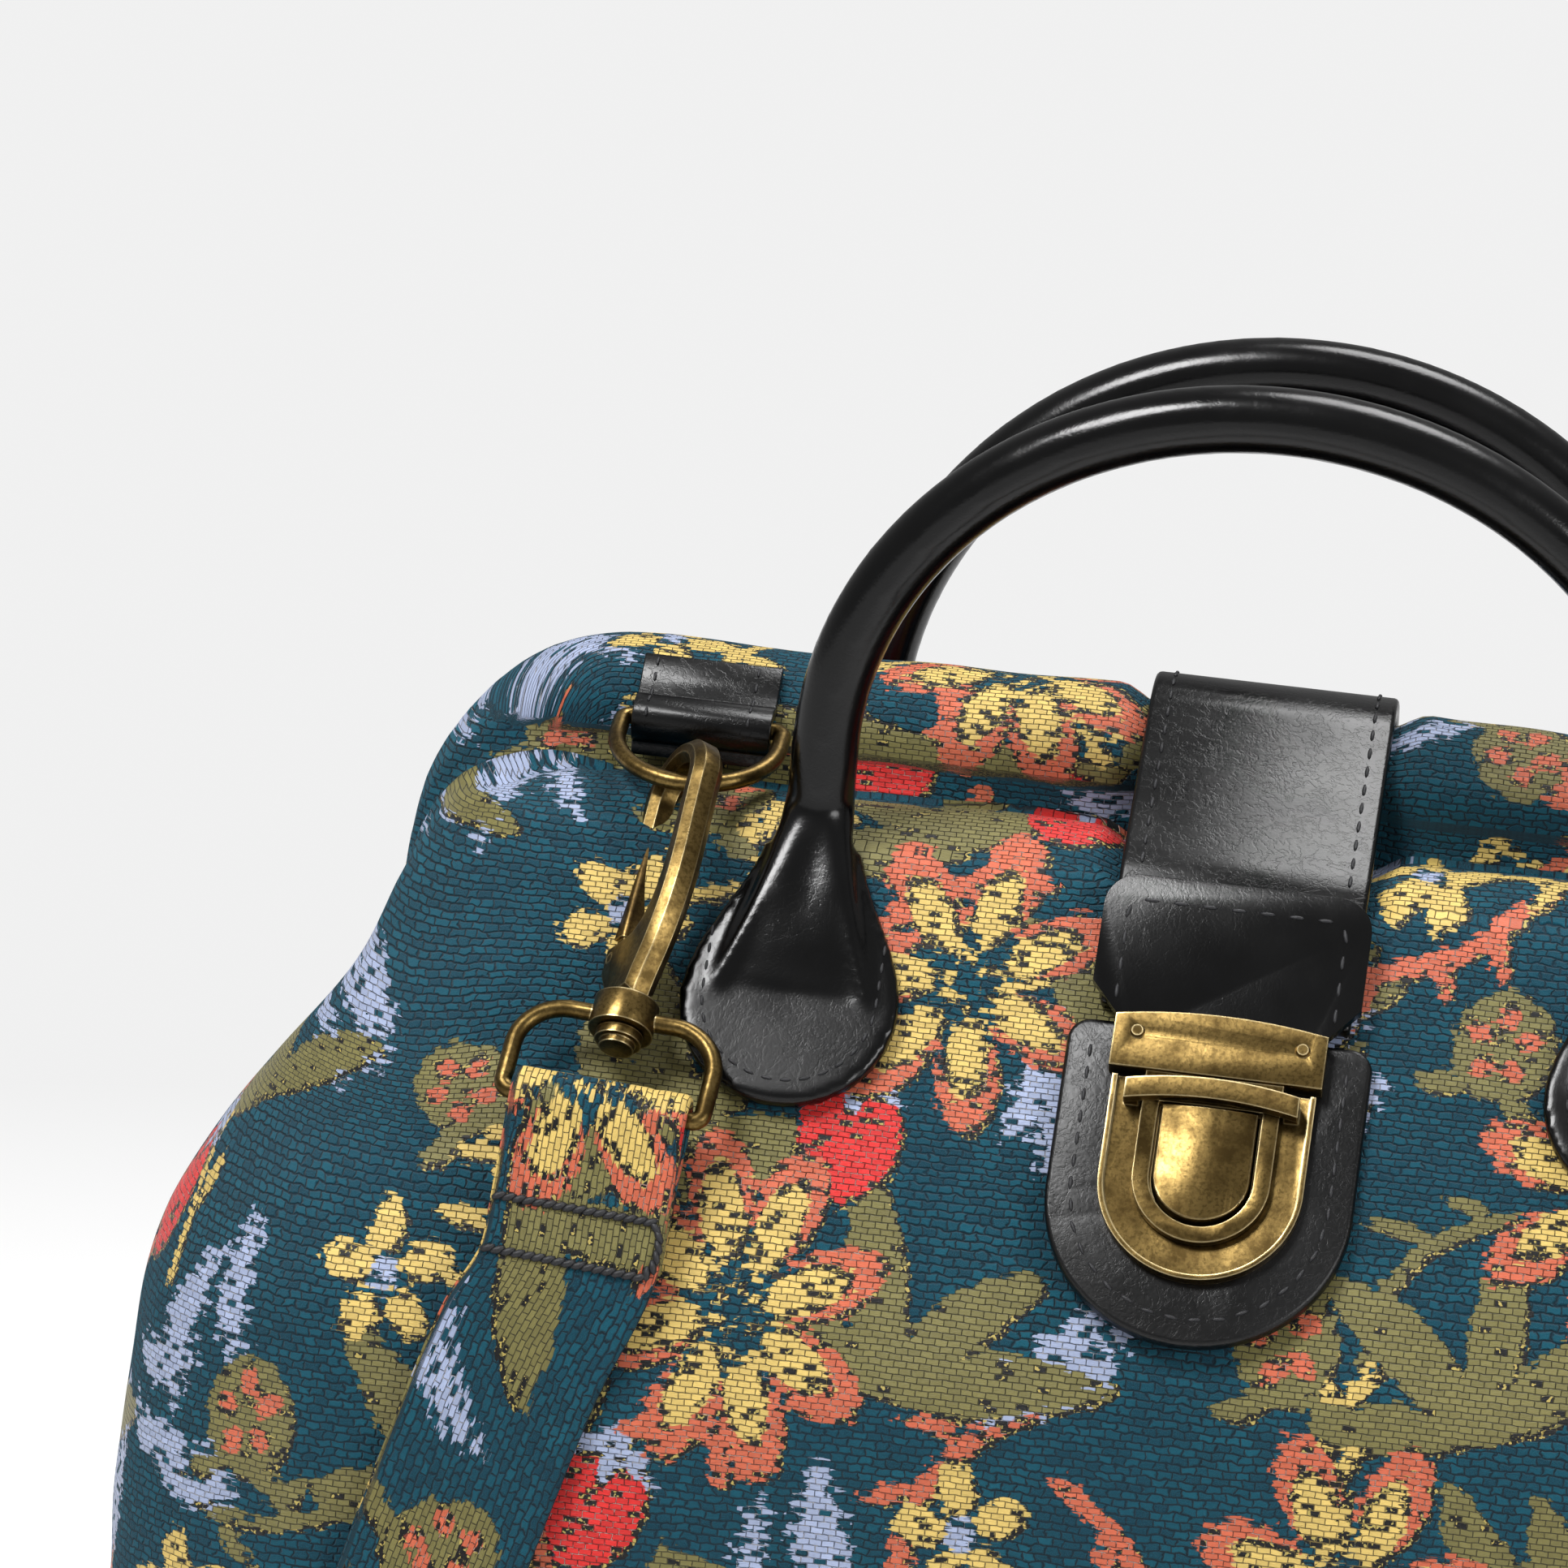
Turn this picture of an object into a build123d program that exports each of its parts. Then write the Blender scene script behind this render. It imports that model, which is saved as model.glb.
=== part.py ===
"""Frame-mouth carpet bag with twin rolled handles, a tuck lock and a clip-on shoulder strap.

Millimetres. X is to the right, the front looks along -Y and Z is up from the floor.
The origin is the middle of the bag's base, on the floor under the centre foot.
"""
from build123d import *
import os
from math import atan2, cos, hypot, radians, sin, tan

os.makedirs("parts", exist_ok=True)

# Body of the bag
bag_width = 362.0
bag_depth = 176.0
wall = 5.0  # chenille cloth, its wadding and backing
base_z = 8.0  # underside of the base, held up by the feet
base_seam_rise = 14.0  # the base's seam above its underside
seam_low = 48.0  # half the width of the side gusset at the base
seam_high = 10.0  # and at the hinge
hinge_z = 196.0
slope_lean = 35.0  # how far the front and back lean in towards the mouth, in degrees
front_slope_off = 17.0  # top of the front slope, out from the front roll's middle
front_slope_z = 222.0
back_slope_off = 21.0
back_slope_z = 240.0

# Mouth: one steel frame in a cloth roll at the front and one at the back
front_roll_r = 14.0
front_roll_y = -19.0
front_roll_z = 217.2
back_roll_r = 16.0
back_roll_y = 5.0
back_roll_z = 236.1
leg_in = 48.0  # middle line of the frame's legs, in from the bag's widest place
roll_bend = 26.0  # bend of the rolls at their corners
rod_bend = 20.0
rod_r = 2.5
rod_clear = 0.3
mouth_lean = 16.0  # plane in which the two rolls press together
mouth_gap = 0.3
mouth_cut = 17.0  # lean of the cloth panels' top edge, in degrees
mouth_cut_rise = 2.0
lining_drop = 26.0  # the lining's top edge under the cloth's
lug_r = 5.0
lug_t = 2.0
lug_reach = 9.0
lug_gap = 0.2
hinge_rivet_r = 1.5
hinge_rivet_head_r = 3.0
hinge_rivet_head_t = 1.2
rivet_clear = 0.1

# Inside
lining_t = 1.0
lining_gap = 0.3
board_t = 3.0
board_margin = 26.0

# Feet
foot_r = 7.0
foot_flat_r = 4.0
foot_stud_r = 2.0
foot_in_x = 51.0  # the corner feet, in from the widest and deepest place
foot_in_y = 40.0
bore_clear = 0.1

# Leather
seat = 0.4  # room between cloth and what is sewn on it
strap_t = 3.4
strap_w = 42.0
strap_tail = 52.0  # how far the closure strap reaches down the back
strap_end = 20.0  # and down the front, measured from the top of the slope
flap_w = 45.0
flap_t = 2.0
flap_top = -3.0
flap_end = 30.5
flap_corner_r = 6.0
patch_w = 51.0
patch_t = 3.4
patch_top = 23.0
patch_end = 78.7
patch_corner_r = 4.0

# Tuck lock
catch_w = 35.6
catch_top = 21.5
catch_h = 11.0
catch_rise = 1.6
catch_t = 1.6
catch_lip = 1.2
tongue_t = 1.6
tongue_band = 2.9
lock_w = 34.0
lock_top = 33.4
lock_end = 68.1
lock_t = 1.2
rim_w = 0.9
rim_h = 0.9
button_w = 16.0
button_top = 38.3
button_end = 58.4
button_rise = 2.1
button_crown = 0.9
button_skirt = 1.0
button_stroke = 2.0
button_clear = 0.3
cup_depth = 7.4
cup_t = 0.8
bridge_clear = 0.6  # between the tongue and each leg of the bridge
bridge_h = 3.6
bridge_t = 2.2
bridge_room = 0.5
bridge_bow = 1.6
leg_w = 2.4
spring_span = 17.0
spring_leaf_w = 6.0
spring_leaf_t = 0.4

# Handles
handle_r = 5.75
handle_x = 72.5
handle_leg = 10.0  # straight part above the neck
handle_arch = 62.0
tab_w = 37.0
tab_t = 4.0
tab_end = 45.0
neck_w = 15.0
neck_rise = 9.8  # the neck above the top of the slope
front_handle_lean = 5.5
back_handle_lean = 0.0
back_handle_drop = 32.0  # the back handle's tabs sit lower than the front one's
back_handle_stand = 2.4  # and its necks stand further off the slope

# D-rings and their tabs
ring_x = 96.0
ring_wire_r = 1.5
ring_drop = 19.5
ring_shoulder_r = 1.8
ring_bar_angle = 78.5  # place of the bar round the back roll, from its crest
ring_off_roll = 19.5  # ring wire from the middle of the front roll
tab_strip_w = 24.0
tab_strip_t = 2.4
tab_strip_back = 14.0  # how far the strip starts behind the crest, in degrees
tab_strip_front = 99.0
bar_clear = 0.3

# Clip hooks of the shoulder strap
clip_drop = 35.0  # swivel below the top of the slope
clip_stand = 7.5  # swivel's axis above the cloth
clip_tilt = 3.5
hook_turn = 32.0  # hook's plane, turned from square to the bag
hook_t = 5.6
hook_bevel = 1.4
throat_r = 5.5
throat_bar = 4.3
throat_play = 1.5  # between the ring's wire and the top of the throat
stud_r = 2.0
barrel_r = 5.5
barrel_h = 5.6
swivel_gap = 0.3
gate_w = 4.0
gate_t = 4.2
gate_lug_t = 3.0
gate_pivot_u = -6.3
gate_pivot_v = 13.0
gate_gap = 0.4
gate_pin_r = 0.9
eye_w = 34.0
eye_drop = 17.0
eye_corner_r = 8.3
eye_foot_r = 1.8
eye_wire_r = 1.5
dent_clear = 0.8

# Shoulder strap
belt_w = 30.0
belt_t = 3.0
belt_loop = 26.0  # doubled length below the eye
belt_off = 2.9  # its middle surface from the cloth
belt_fall_end = 44.0  # height at which it leaves the front
belt_twist_run = 64.0
belt_turn_r = 62.0
belt_turn = 80.0


def flat(x, y, z):
    """A plane square to the floor's XY, at a height."""
    return Plane(origin=(x, y, z))


# Outline of the body: height above its underside, then how far each side draws in
# from the full width and depth, and the corner radius of that level's section.
draw_in = tan(radians(slope_lean))  # run of the slope for each millimetre of height
front_slope_y = front_roll_y - front_slope_off
back_slope_y = back_roll_y + back_slope_off


def front_y(z):
    return front_slope_y - (front_slope_z - z) * draw_in


def back_y(z):
    return back_slope_y + (back_slope_z - z) * draw_in


half_w = bag_width / 2
half_d = bag_depth / 2
leg_x = half_w - leg_in
foot_x = half_w - foot_in_x
foot_y = half_d - foot_in_y
body_levels = [
    (base_z, half_w - 20, -half_d + 18, half_d - 18, 30),
    (base_z + 4, half_w - 11, -half_d + 9, half_d - 9, 34),
    (base_z + 17, half_w - 5, -half_d + 3, half_d - 3, 38),
    (base_z + 62, half_w - 2, -half_d, half_d, 40),
    (base_z + 115, half_w, -half_d + 1.5, half_d - 0.5, 42),
    (base_z + 142, half_w - 4, -half_d + 5.5, half_d - 3.5, 44),
    (hinge_z - 20, half_w - 19, front_y(hinge_z - 20), back_y(hinge_z - 20), 42),
    (hinge_z, half_w - 32, front_y(hinge_z), back_y(hinge_z), 38),
    (hinge_z + 12, half_w - 36, front_y(hinge_z + 12), back_y(hinge_z + 12), 34),
    (hinge_z + 28, half_w - 42, front_y(hinge_z + 28), back_y(hinge_z + 28), 28),
    (hinge_z + 52, half_w - 54, front_y(hinge_z + 52), back_y(hinge_z + 52), 16),
]


def body_form(skin):
    """The body's outer form, drawn in by skin all round and underneath."""
    with BuildPart() as form:
        for z, side, front, back, corner in body_levels:
            lift = skin if z < base_z + 30 else 0
            with BuildSketch(flat(0, (front + back) / 2, z + lift)):
                RectangleRounded(2 * (side - skin), back - front - 2 * skin, max(corner - skin, 4))
        loft()
    return form.part


def below(part, plane):
    """The side of a part that lies under a plane."""
    with BuildPart() as piece:
        add(part)
        split(bisect_by=plane, keep=Keep.BOTTOM)
    return piece.part


def above(part, plane):
    """The side of a part that lies over a plane."""
    with BuildPart() as piece:
        add(part)
        split(bisect_by=plane, keep=Keep.TOP)
    return piece.part


# Frames and rolls
def lean_plane(y, z):
    """The plane through both hinges and a roll's middle line, and the roll's height in it."""
    rise = z - hinge_z
    lean = atan2(-y, rise)
    plane = Plane(origin=(0, 0, hinge_z), x_dir=(1, 0, 0), z_dir=(0, -cos(lean), -sin(lean)))
    return plane, hypot(y, rise)


front_plane, front_height = lean_plane(front_roll_y, front_roll_z)
back_plane, back_height = lean_plane(back_roll_y, back_roll_z)
mouth_plane = Plane(
    origin=(0, 0, hinge_z),
    x_dir=(1, 0, 0),
    z_dir=(0, -cos(radians(mouth_lean)), -sin(radians(mouth_lean))),
)


def bow(plane, height, start, radius, bend):
    """A round bar bent to an inverted U, from start above the hinges."""
    outline = [(-leg_x, start), (-leg_x, height), (leg_x, height), (leg_x, start)]
    with BuildPart() as bar:
        with BuildLine(plane) as path:
            FilletPolyline(*outline, radius=bend)
        run = path.wire()
        with BuildSketch(Plane(origin=run @ 0, z_dir=run % 0)):
            Circle(radius)
        sweep()
    return bar.part


def frame(plane, height, lug_offset):
    """A mouth frame: the bow with a flat lug at each hinge, bored for its rivet."""
    rod = bow(plane, height, lug_reach - 1, rod_r, rod_bend)
    with BuildPart() as steel:
        add(rod)
        for side in (-1, 1):
            x = side * leg_x + lug_offset
            lug_plane = Plane(origin=(x, 0, hinge_z), x_dir=plane.y_dir, z_dir=(1, 0, 0))
            with BuildSketch(lug_plane):
                Circle(lug_r)
                with Locations((lug_reach / 2, 0)):
                    Rectangle(lug_reach, 2 * rod_r)
                Circle(hinge_rivet_r + rivet_clear, mode=Mode.SUBTRACT)
            extrude(amount=lug_t / 2, both=True)
    return steel.part


lug_step = (lug_t + lug_gap) / 2
frame_front = frame(front_plane, front_height, -lug_step)
frame_front.label = "frame_front"
frame_back = frame(back_plane, back_height, lug_step)
frame_back.label = "frame_back"


def hinge_rivet(side):
    """The pin that both frames turn on, with a head each end."""
    head = lug_t + lug_gap / 2 + rivet_clear
    with BuildPart() as rivet:
        with BuildSketch(Plane(origin=(side * leg_x, 0, hinge_z), z_dir=(1, 0, 0))):
            Circle(hinge_rivet_r)
        extrude(amount=head, both=True)
        for way in (-1, 1):
            place = Plane(origin=(side * leg_x + way * head, 0, hinge_z), z_dir=(way, 0, 0))
            with BuildSketch(place):
                Circle(hinge_rivet_head_r)
            extrude(amount=hinge_rivet_head_t)
    return rivet.part


def hinge_room(side):
    """Room in the cloth round a hinge."""
    with BuildPart() as room:
        with BuildSketch(Plane(origin=(side * leg_x, 0, hinge_z), z_dir=(1, 0, 0))):
            Circle(hypot(lug_reach, rod_r) + rod_clear)
        extrude(amount=5.2, both=True)
    return room.part


left_rivet = hinge_rivet(-1)
left_rivet.label = "hinge_rivet_left"
right_rivet = hinge_rivet(1)
right_rivet.label = "hinge_rivet_right"

# Slope planes: local x across the bag, local y up the slope, local z out of the cloth
lean = radians(slope_lean)
front_slope = Plane(
    origin=(0, front_slope_y, front_slope_z), x_dir=(1, 0, 0), z_dir=(0, -cos(lean), sin(lean))
)
back_slope = Plane(
    origin=(0, back_slope_y, back_slope_z), x_dir=(-1, 0, 0), z_dir=(0, cos(lean), sin(lean))
)

# Clip geometry: the ring's bar, the ring's lowest wire and the swivel, in Y and Z
bar_turn = radians(ring_bar_angle)
bar_reach = back_roll_r + seat + bar_clear + ring_wire_r
bar_y = back_roll_y - bar_reach * sin(bar_turn)
bar_z = back_roll_z + bar_reach * cos(bar_turn)
bar_from_roll = hypot(bar_y - front_roll_y, bar_z - front_roll_z)
ring_turn = atan2(bar_y - front_roll_y, bar_z - front_roll_z)
cosine = (bar_from_roll**2 + ring_off_roll**2 - ring_drop**2) / (2 * bar_from_roll * ring_off_roll)
ring_turn = ring_turn - atan2((1 - cosine**2) ** 0.5, cosine)
wire_y = front_roll_y + ring_off_roll * sin(ring_turn)
wire_z = front_roll_z + ring_off_roll * cos(ring_turn)
swivel = front_slope.from_local_coords(Vector(0, -clip_drop, clip_stand))
hook_reach = hypot(swivel.Y - wire_y, swivel.Z - wire_z)
axis_y = (wire_y - swivel.Y) / hook_reach
axis_z = (wire_z - swivel.Z) / hook_reach


def clip_plane(side):
    """Origin on the swivel; local x across, y up towards the ring and z away from the bag."""
    tilt = radians(clip_tilt) * side
    up = Vector(-sin(tilt), cos(tilt) * axis_y, cos(tilt) * axis_z)
    out = Vector(0, -axis_z, axis_y)
    middle = Vector(side * ring_x, wire_y, wire_z) - up * hook_reach
    return Plane(origin=middle, x_dir=up.cross(out), z_dir=out)


def hook_plane(side):
    """The clip's plane turned about its axis, so that the spine stands out from the bag."""
    base = clip_plane(side)
    turn = radians(hook_turn)
    across = base.x_dir * (-side * sin(turn)) + base.z_dir * cos(turn)
    return Plane(origin=base.origin, x_dir=across, z_dir=across.cross(base.y_dir))


def clip_dent(side):
    """Room that the clip presses into the soft roll and front panel."""
    base = clip_plane(side)
    wide = throat_r + throat_bar + dent_clear
    narrow = wide - 0.8
    length = hook_reach * 0.66  # the hook's narrow part
    step = base.from_local_coords((0, length, 0))
    with BuildPart() as dent:
        with BuildSketch(Plane(origin=base.origin, z_dir=base.y_dir)):
            Circle(narrow)
        extrude(amount=length)
        with BuildSketch(Plane(origin=step, z_dir=base.y_dir)):
            Circle(wide)
        extrude(amount=hook_reach - length + wide)
    return dent.part


# Cloth body: one hollow form, cut along its seams and round the frame's rolls
mouth_cut_plane = Plane(
    origin=(0, front_slope_y, front_slope_z + mouth_cut_rise),
    x_dir=(1, 0, 0),
    z_dir=(0, -sin(radians(mouth_cut)), cos(radians(mouth_cut))),
)


def gusset_plane(way):
    """A gusset's seam: wide at the base and narrow at the hinge."""
    spread = atan2(seam_low - seam_high, hinge_z - base_z)
    return Plane(
        origin=(0, way * seam_low, base_z), x_dir=(1, 0, 0), z_dir=(0, way * cos(spread), sin(spread))
    )


base_plane = flat(0, 0, base_z + base_seam_rise)
front_roll = bow(front_plane, front_height, 0, front_roll_r, roll_bend)
back_roll = bow(back_plane, back_height, 0, back_roll_r, roll_bend)
feet_places = [(0, 0), (-foot_x, -foot_y), (foot_x, -foot_y), (-foot_x, foot_y), (foot_x, foot_y)]

body_outside = body_form(0)
body_inside = body_form(wall)
lining_outside = body_form(wall + lining_gap)
lining_inside = body_form(wall + lining_gap + lining_t)
frame_room = [front_roll, back_roll, hinge_room(-1), hinge_room(1)]
hinge_rooms = frame_room[2:]


def cloth_shell(outer, inner, top):
    """A hollow form, cut off at the mouth and bored for the feet's studs."""
    with BuildPart() as cloth:
        add(outer)
        add(inner, mode=Mode.SUBTRACT)
        split(bisect_by=top, keep=Keep.BOTTOM)
        add(frame_room, mode=Mode.SUBTRACT)
        with Locations(*[(x, y, base_z) for x, y in feet_places]):
            Cylinder(foot_stud_r + bore_clear, 4 * wall, mode=Mode.SUBTRACT)
    return cloth.part


shell = cloth_shell(body_outside, body_inside, mouth_cut_plane)
lining = cloth_shell(lining_outside, lining_inside, mouth_cut_plane.offset(-lining_drop))
lining.label = "lining"


def casing(roll, plane, height, keep, gap):
    """A cloth roll round its frame, pressed flat where it meets the other one."""
    rod_room = bow(plane, height, 0, rod_r + rod_clear, rod_bend - 0.01)
    with BuildPart() as cloth:
        add(roll)
        split(bisect_by=mouth_plane.offset(gap), keep=keep)
        add(rod_room, mode=Mode.SUBTRACT)
        add(hinge_rooms, mode=Mode.SUBTRACT)
    return cloth.part


front_casing_form = casing(front_roll, front_plane, front_height, Keep.TOP, mouth_gap / 2)


# Tuck lock, built on the front slope
def slope_level(height):
    """The front slope at a height above the cloth."""
    return front_slope.offset(height)


def d_outline(width, top, end):
    """A flat plate's outline with a straight top and a half-round lower end."""
    side = end - width / 2
    with BuildSketch(mode=Mode.PRIVATE) as outline:
        radius = width / 2
        with BuildLine():
            Polyline((-radius, -side), (-radius, -top), (radius, -top), (radius, -side))
            ThreePointArc((radius, -side), (0, -end), (-radius, -side))
        make_face()
    return outline.sketch


patch_face = seat + patch_t
floor_top = patch_face + lock_t
flap_base = seat + strap_t + 0.1
catch_base = flap_base + flap_t
tongue_base = floor_top + 0.2
bridge_base = tongue_base + tongue_t + bridge_room
skirt_w = button_w + 2 * button_skirt
well_edge = button_skirt + button_clear  # room round the button's skirt
cup_w = button_w + 2 * (well_edge + cup_t)
cup_room_edge = well_edge + cup_t + 0.2
tongue_w = button_w + 2 * (2 * button_clear + tongue_band)
bridge_w = tongue_w + 2 * (bridge_clear + leg_w)

with BuildPart() as lock_leather_base:
    with BuildSketch(slope_level(seat)):
        add(d_outline(patch_w, patch_top, patch_end))
        add(
            d_outline(
                button_w + 2 * cup_room_edge, button_top - cup_room_edge, button_end + cup_room_edge
            ),
            mode=Mode.SUBTRACT,
        )
    extrude(amount=patch_t)
    thick_edges = lock_leather_base.edges().filter_by(Axis((0, 0, 0), front_slope.z_dir))
    fillet(thick_edges.group_by(Axis.Z)[-1], patch_corner_r)
lock_leather_base.part.label = "lock_leather_base"

with BuildPart() as lock_plate:
    with BuildSketch(slope_level(patch_face)):
        add(d_outline(lock_w, lock_top, lock_end))
    extrude(amount=lock_t + rim_h)
    with BuildSketch(slope_level(floor_top)):
        add(d_outline(lock_w - 2 * rim_w, lock_top - 1, lock_end - rim_w))
    extrude(amount=rim_h + 1, mode=Mode.SUBTRACT)
    # the bridge that the tongue slides under, on two legs
    with BuildSketch(slope_level(bridge_base)) as bridge_outline:
        with BuildLine():
            half = bridge_w / 2
            upper = -(lock_top + 0.3)
            lower = upper - bridge_h
            ThreePointArc((-half, upper - bridge_bow), (0, upper), (half, upper - bridge_bow))
            Line((half, upper - bridge_bow), (half, lower - bridge_bow))
            ThreePointArc((half, lower - bridge_bow), (0, lower), (-half, lower - bridge_bow))
            Line((-half, lower - bridge_bow), (-half, upper - bridge_bow))
        make_face()
    extrude(amount=bridge_t)
    with BuildSketch(slope_level(floor_top - 0.1)):
        foot_y_local = upper - bridge_h / 2 - bridge_bow * 0.8
        with Locations((-half + leg_w / 2, foot_y_local), (half - leg_w / 2, foot_y_local)):
            Rectangle(leg_w, bridge_h - 0.6)
    extrude(amount=bridge_base - floor_top + 0.2)
    # the button's hole, and the cup that holds its spring
    with BuildSketch(slope_level(patch_face - cup_depth)):
        rim = well_edge + cup_t
        add(d_outline(cup_w, button_top - rim, button_end + rim))
    extrude(amount=cup_depth)
    with BuildSketch(slope_level(patch_face - cup_depth + cup_t)):
        add(d_outline(cup_w - 2 * cup_t, button_top - well_edge, button_end + well_edge))
    extrude(amount=cup_depth - cup_t, mode=Mode.SUBTRACT)
    with BuildSketch(slope_level(patch_face - 0.1)):
        add(d_outline(button_w + 2 * button_clear, button_top - button_clear, button_end + button_clear))
    extrude(amount=lock_t + 0.2, mode=Mode.SUBTRACT)
lock_plate.part.label = "lock_plate"

with BuildPart() as lock_button:
    crown_r = (button_w / 2) ** 2 / (2 * button_crown)
    button_height = tongue_base + button_rise
    with BuildSketch(slope_level(patch_face - button_skirt - 0.1)):
        add(d_outline(skirt_w, button_top - button_skirt, button_end + button_skirt))
    extrude(amount=button_skirt)
    with BuildSketch(slope_level(patch_face - 0.2)):
        add(d_outline(button_w, button_top, button_end))
    extrude(amount=button_height + button_crown - patch_face + 0.2)
    middle = front_slope.from_local_coords(
        Vector(0, -(button_top + button_end) / 2, button_height + button_crown - crown_r)
    )
    with BuildSketch(Plane(origin=middle, z_dir=front_slope.y_dir)):
        Circle(crown_r)
    extrude(amount=button_end, both=True, mode=Mode.INTERSECT)
lock_button.part.label = "lock_button"

spring_base = patch_face - cup_depth + cup_t + 0.05
spring_top = patch_face - button_skirt - 0.15
spring_place = front_slope.from_local_coords(Vector(0, -(button_top + button_end) / 2, 0))
with BuildPart() as button_spring:
    # a bowed leaf: its ends stand on the cup's floor and its middle holds the button up
    leaf_half = spring_span / 2
    leaf_rise = spring_top - spring_base - spring_leaf_t
    with BuildSketch(Plane(origin=spring_place, x_dir=front_slope.z_dir, z_dir=(1, 0, 0))):
        with BuildLine() as leaf:
            ThreePointArc(
                (spring_base + spring_leaf_t / 2, -leaf_half),
                (spring_base + spring_leaf_t / 2 + leaf_rise, 0),
                (spring_base + spring_leaf_t / 2, leaf_half),
            )
        trace(leaf.line, line_width=spring_leaf_t)
    extrude(amount=spring_leaf_w / 2, both=True)
button_spring.part.label = "button_spring"

# Catch: plate with its tongue loop, riveted to the flap
with BuildPart() as lock_catch:
    half = catch_w / 2
    catch_end = catch_top + catch_h
    with BuildSketch(slope_level(catch_base)):
        with BuildLine():
            shoulder = -catch_top - catch_rise
            Polyline((-half, shoulder), (-half, -catch_end), (half, -catch_end), (half, shoulder))
            ThreePointArc((half, shoulder), (0, -catch_top), (-half, shoulder))
        make_face()
    extrude(amount=catch_t)
    with BuildSketch(slope_level(flap_base)):
        with Locations((0, -catch_end + catch_lip / 2)):
            Rectangle(catch_w, catch_lip)
        lip_x = half - catch_lip / 2
        with Locations((-lip_x, -catch_end + catch_h / 3), (lip_x, -catch_end + catch_h / 3)):
            Rectangle(catch_lip, catch_h * 2 / 3)
    extrude(amount=flap_t + 0.1)
    with BuildSketch(slope_level(tongue_base)):
        inner = button_w + 4 * button_clear
        add(d_outline(tongue_w, catch_end - 0.5, button_end + 2 * button_clear + tongue_band))
        add(
            d_outline(inner, button_top - 2 * button_clear, button_end + 2 * button_clear),
            mode=Mode.SUBTRACT,
        )
    extrude(amount=tongue_t)
    rivet_places = [(way * (half - 4.0), -catch_top - catch_h * 0.42) for way in (-1, 1)]
    with BuildSketch(slope_level(catch_base)):
        with Locations(*rivet_places):
            Circle(0.9 + rivet_clear)
    extrude(amount=catch_t, mode=Mode.SUBTRACT)
lock_catch.part.label = "lock_catch"

with BuildPart() as catch_rivets:
    with BuildSketch(slope_level(flap_base)):
        with Locations(*rivet_places):
            Circle(0.9)
    extrude(amount=flap_t + catch_t + 0.1)
    with BuildSketch(slope_level(catch_base + catch_t)):
        with Locations(*rivet_places):
            Circle(1.3)
    extrude(amount=0.7, taper=25)
catch_rivets.part.label = "catch_rivets"

with BuildPart() as closure_flap:
    with BuildSketch(slope_level(flap_base)) as closure_flap_outline:
        with BuildLine():
            low = half - catch_lip - 0.1
            Polyline(
                (-flap_w / 2, -flap_top),
                (flap_w / 2, -flap_top),
                (flap_w / 2, -17),
                (low, -24),
                (low, -flap_end),
                (-low, -flap_end),
                (-low, -24),
                (-flap_w / 2, -17),
                close=True,
            )
        make_face()
        fillet(closure_flap_outline.vertices().group_by(Axis.Y)[-1], flap_corner_r)
        with Locations(*rivet_places):
            Circle(0.9 + rivet_clear, mode=Mode.SUBTRACT)
    extrude(amount=flap_t)
closure_flap.part.label = "closure_flap"

# Closure strap: from the back, over both rolls and down to the flap
def meet(point, way, other, other_way):
    """Where two lines in the YZ plane cross."""
    cross = way.X * other_way.Y - way.Y * other_way.X
    gap = other - point
    return point + way * ((gap.X * other_way.Y - gap.Y * other_way.X) / cross)


def side_point(plane, down, height):
    """A point on a slope's middle, as Y and Z."""
    place = plane.from_local_coords(Vector(0, -down, height))
    return Vector(place.Y, place.Z)


def side_way(direction):
    return Vector(direction.Y, direction.Z)


strap_middle = seat + strap_t / 2
roll_line = Vector(front_roll_y - back_roll_y, front_roll_z - back_roll_z)
roll_way = roll_line.normalized()
roll_up = Vector(roll_way.Y, -roll_way.X)
front_bulk = -front_slope.to_local_coords(Vector(0, front_roll_y, front_roll_z)).Z
slip = (back_roll_r - front_bulk) / roll_line.length
strap_normal = roll_up * (1 - slip**2) ** 0.5 + roll_way * slip
top_point = Vector(back_roll_y, back_roll_z) + strap_normal * (back_roll_r + strap_middle)
top_way = Vector(-strap_normal.Y, strap_normal.X)
strap_start = side_point(back_slope, strap_tail, strap_middle)
strap_finish = side_point(front_slope, strap_end, strap_middle)
strap_apex = meet(strap_start, side_way(back_slope.y_dir), top_point, top_way)
strap_front = meet(strap_finish, side_way(front_slope.y_dir), top_point, top_way)

with BuildPart() as closure_strap:
    with BuildSketch(Plane.YZ):
        with BuildLine() as strap_path:
            FilletPolyline(
                tuple(strap_start)[:2],
                tuple(strap_apex)[:2],
                tuple(strap_front)[:2],
                tuple(strap_finish)[:2],
                radius=(back_roll_r + strap_middle, front_roll_r + strap_middle),
            )
        trace(strap_path.line, line_width=strap_t)
    extrude(amount=strap_w / 2, both=True)
closure_strap.part.label = "closure_strap"


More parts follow.
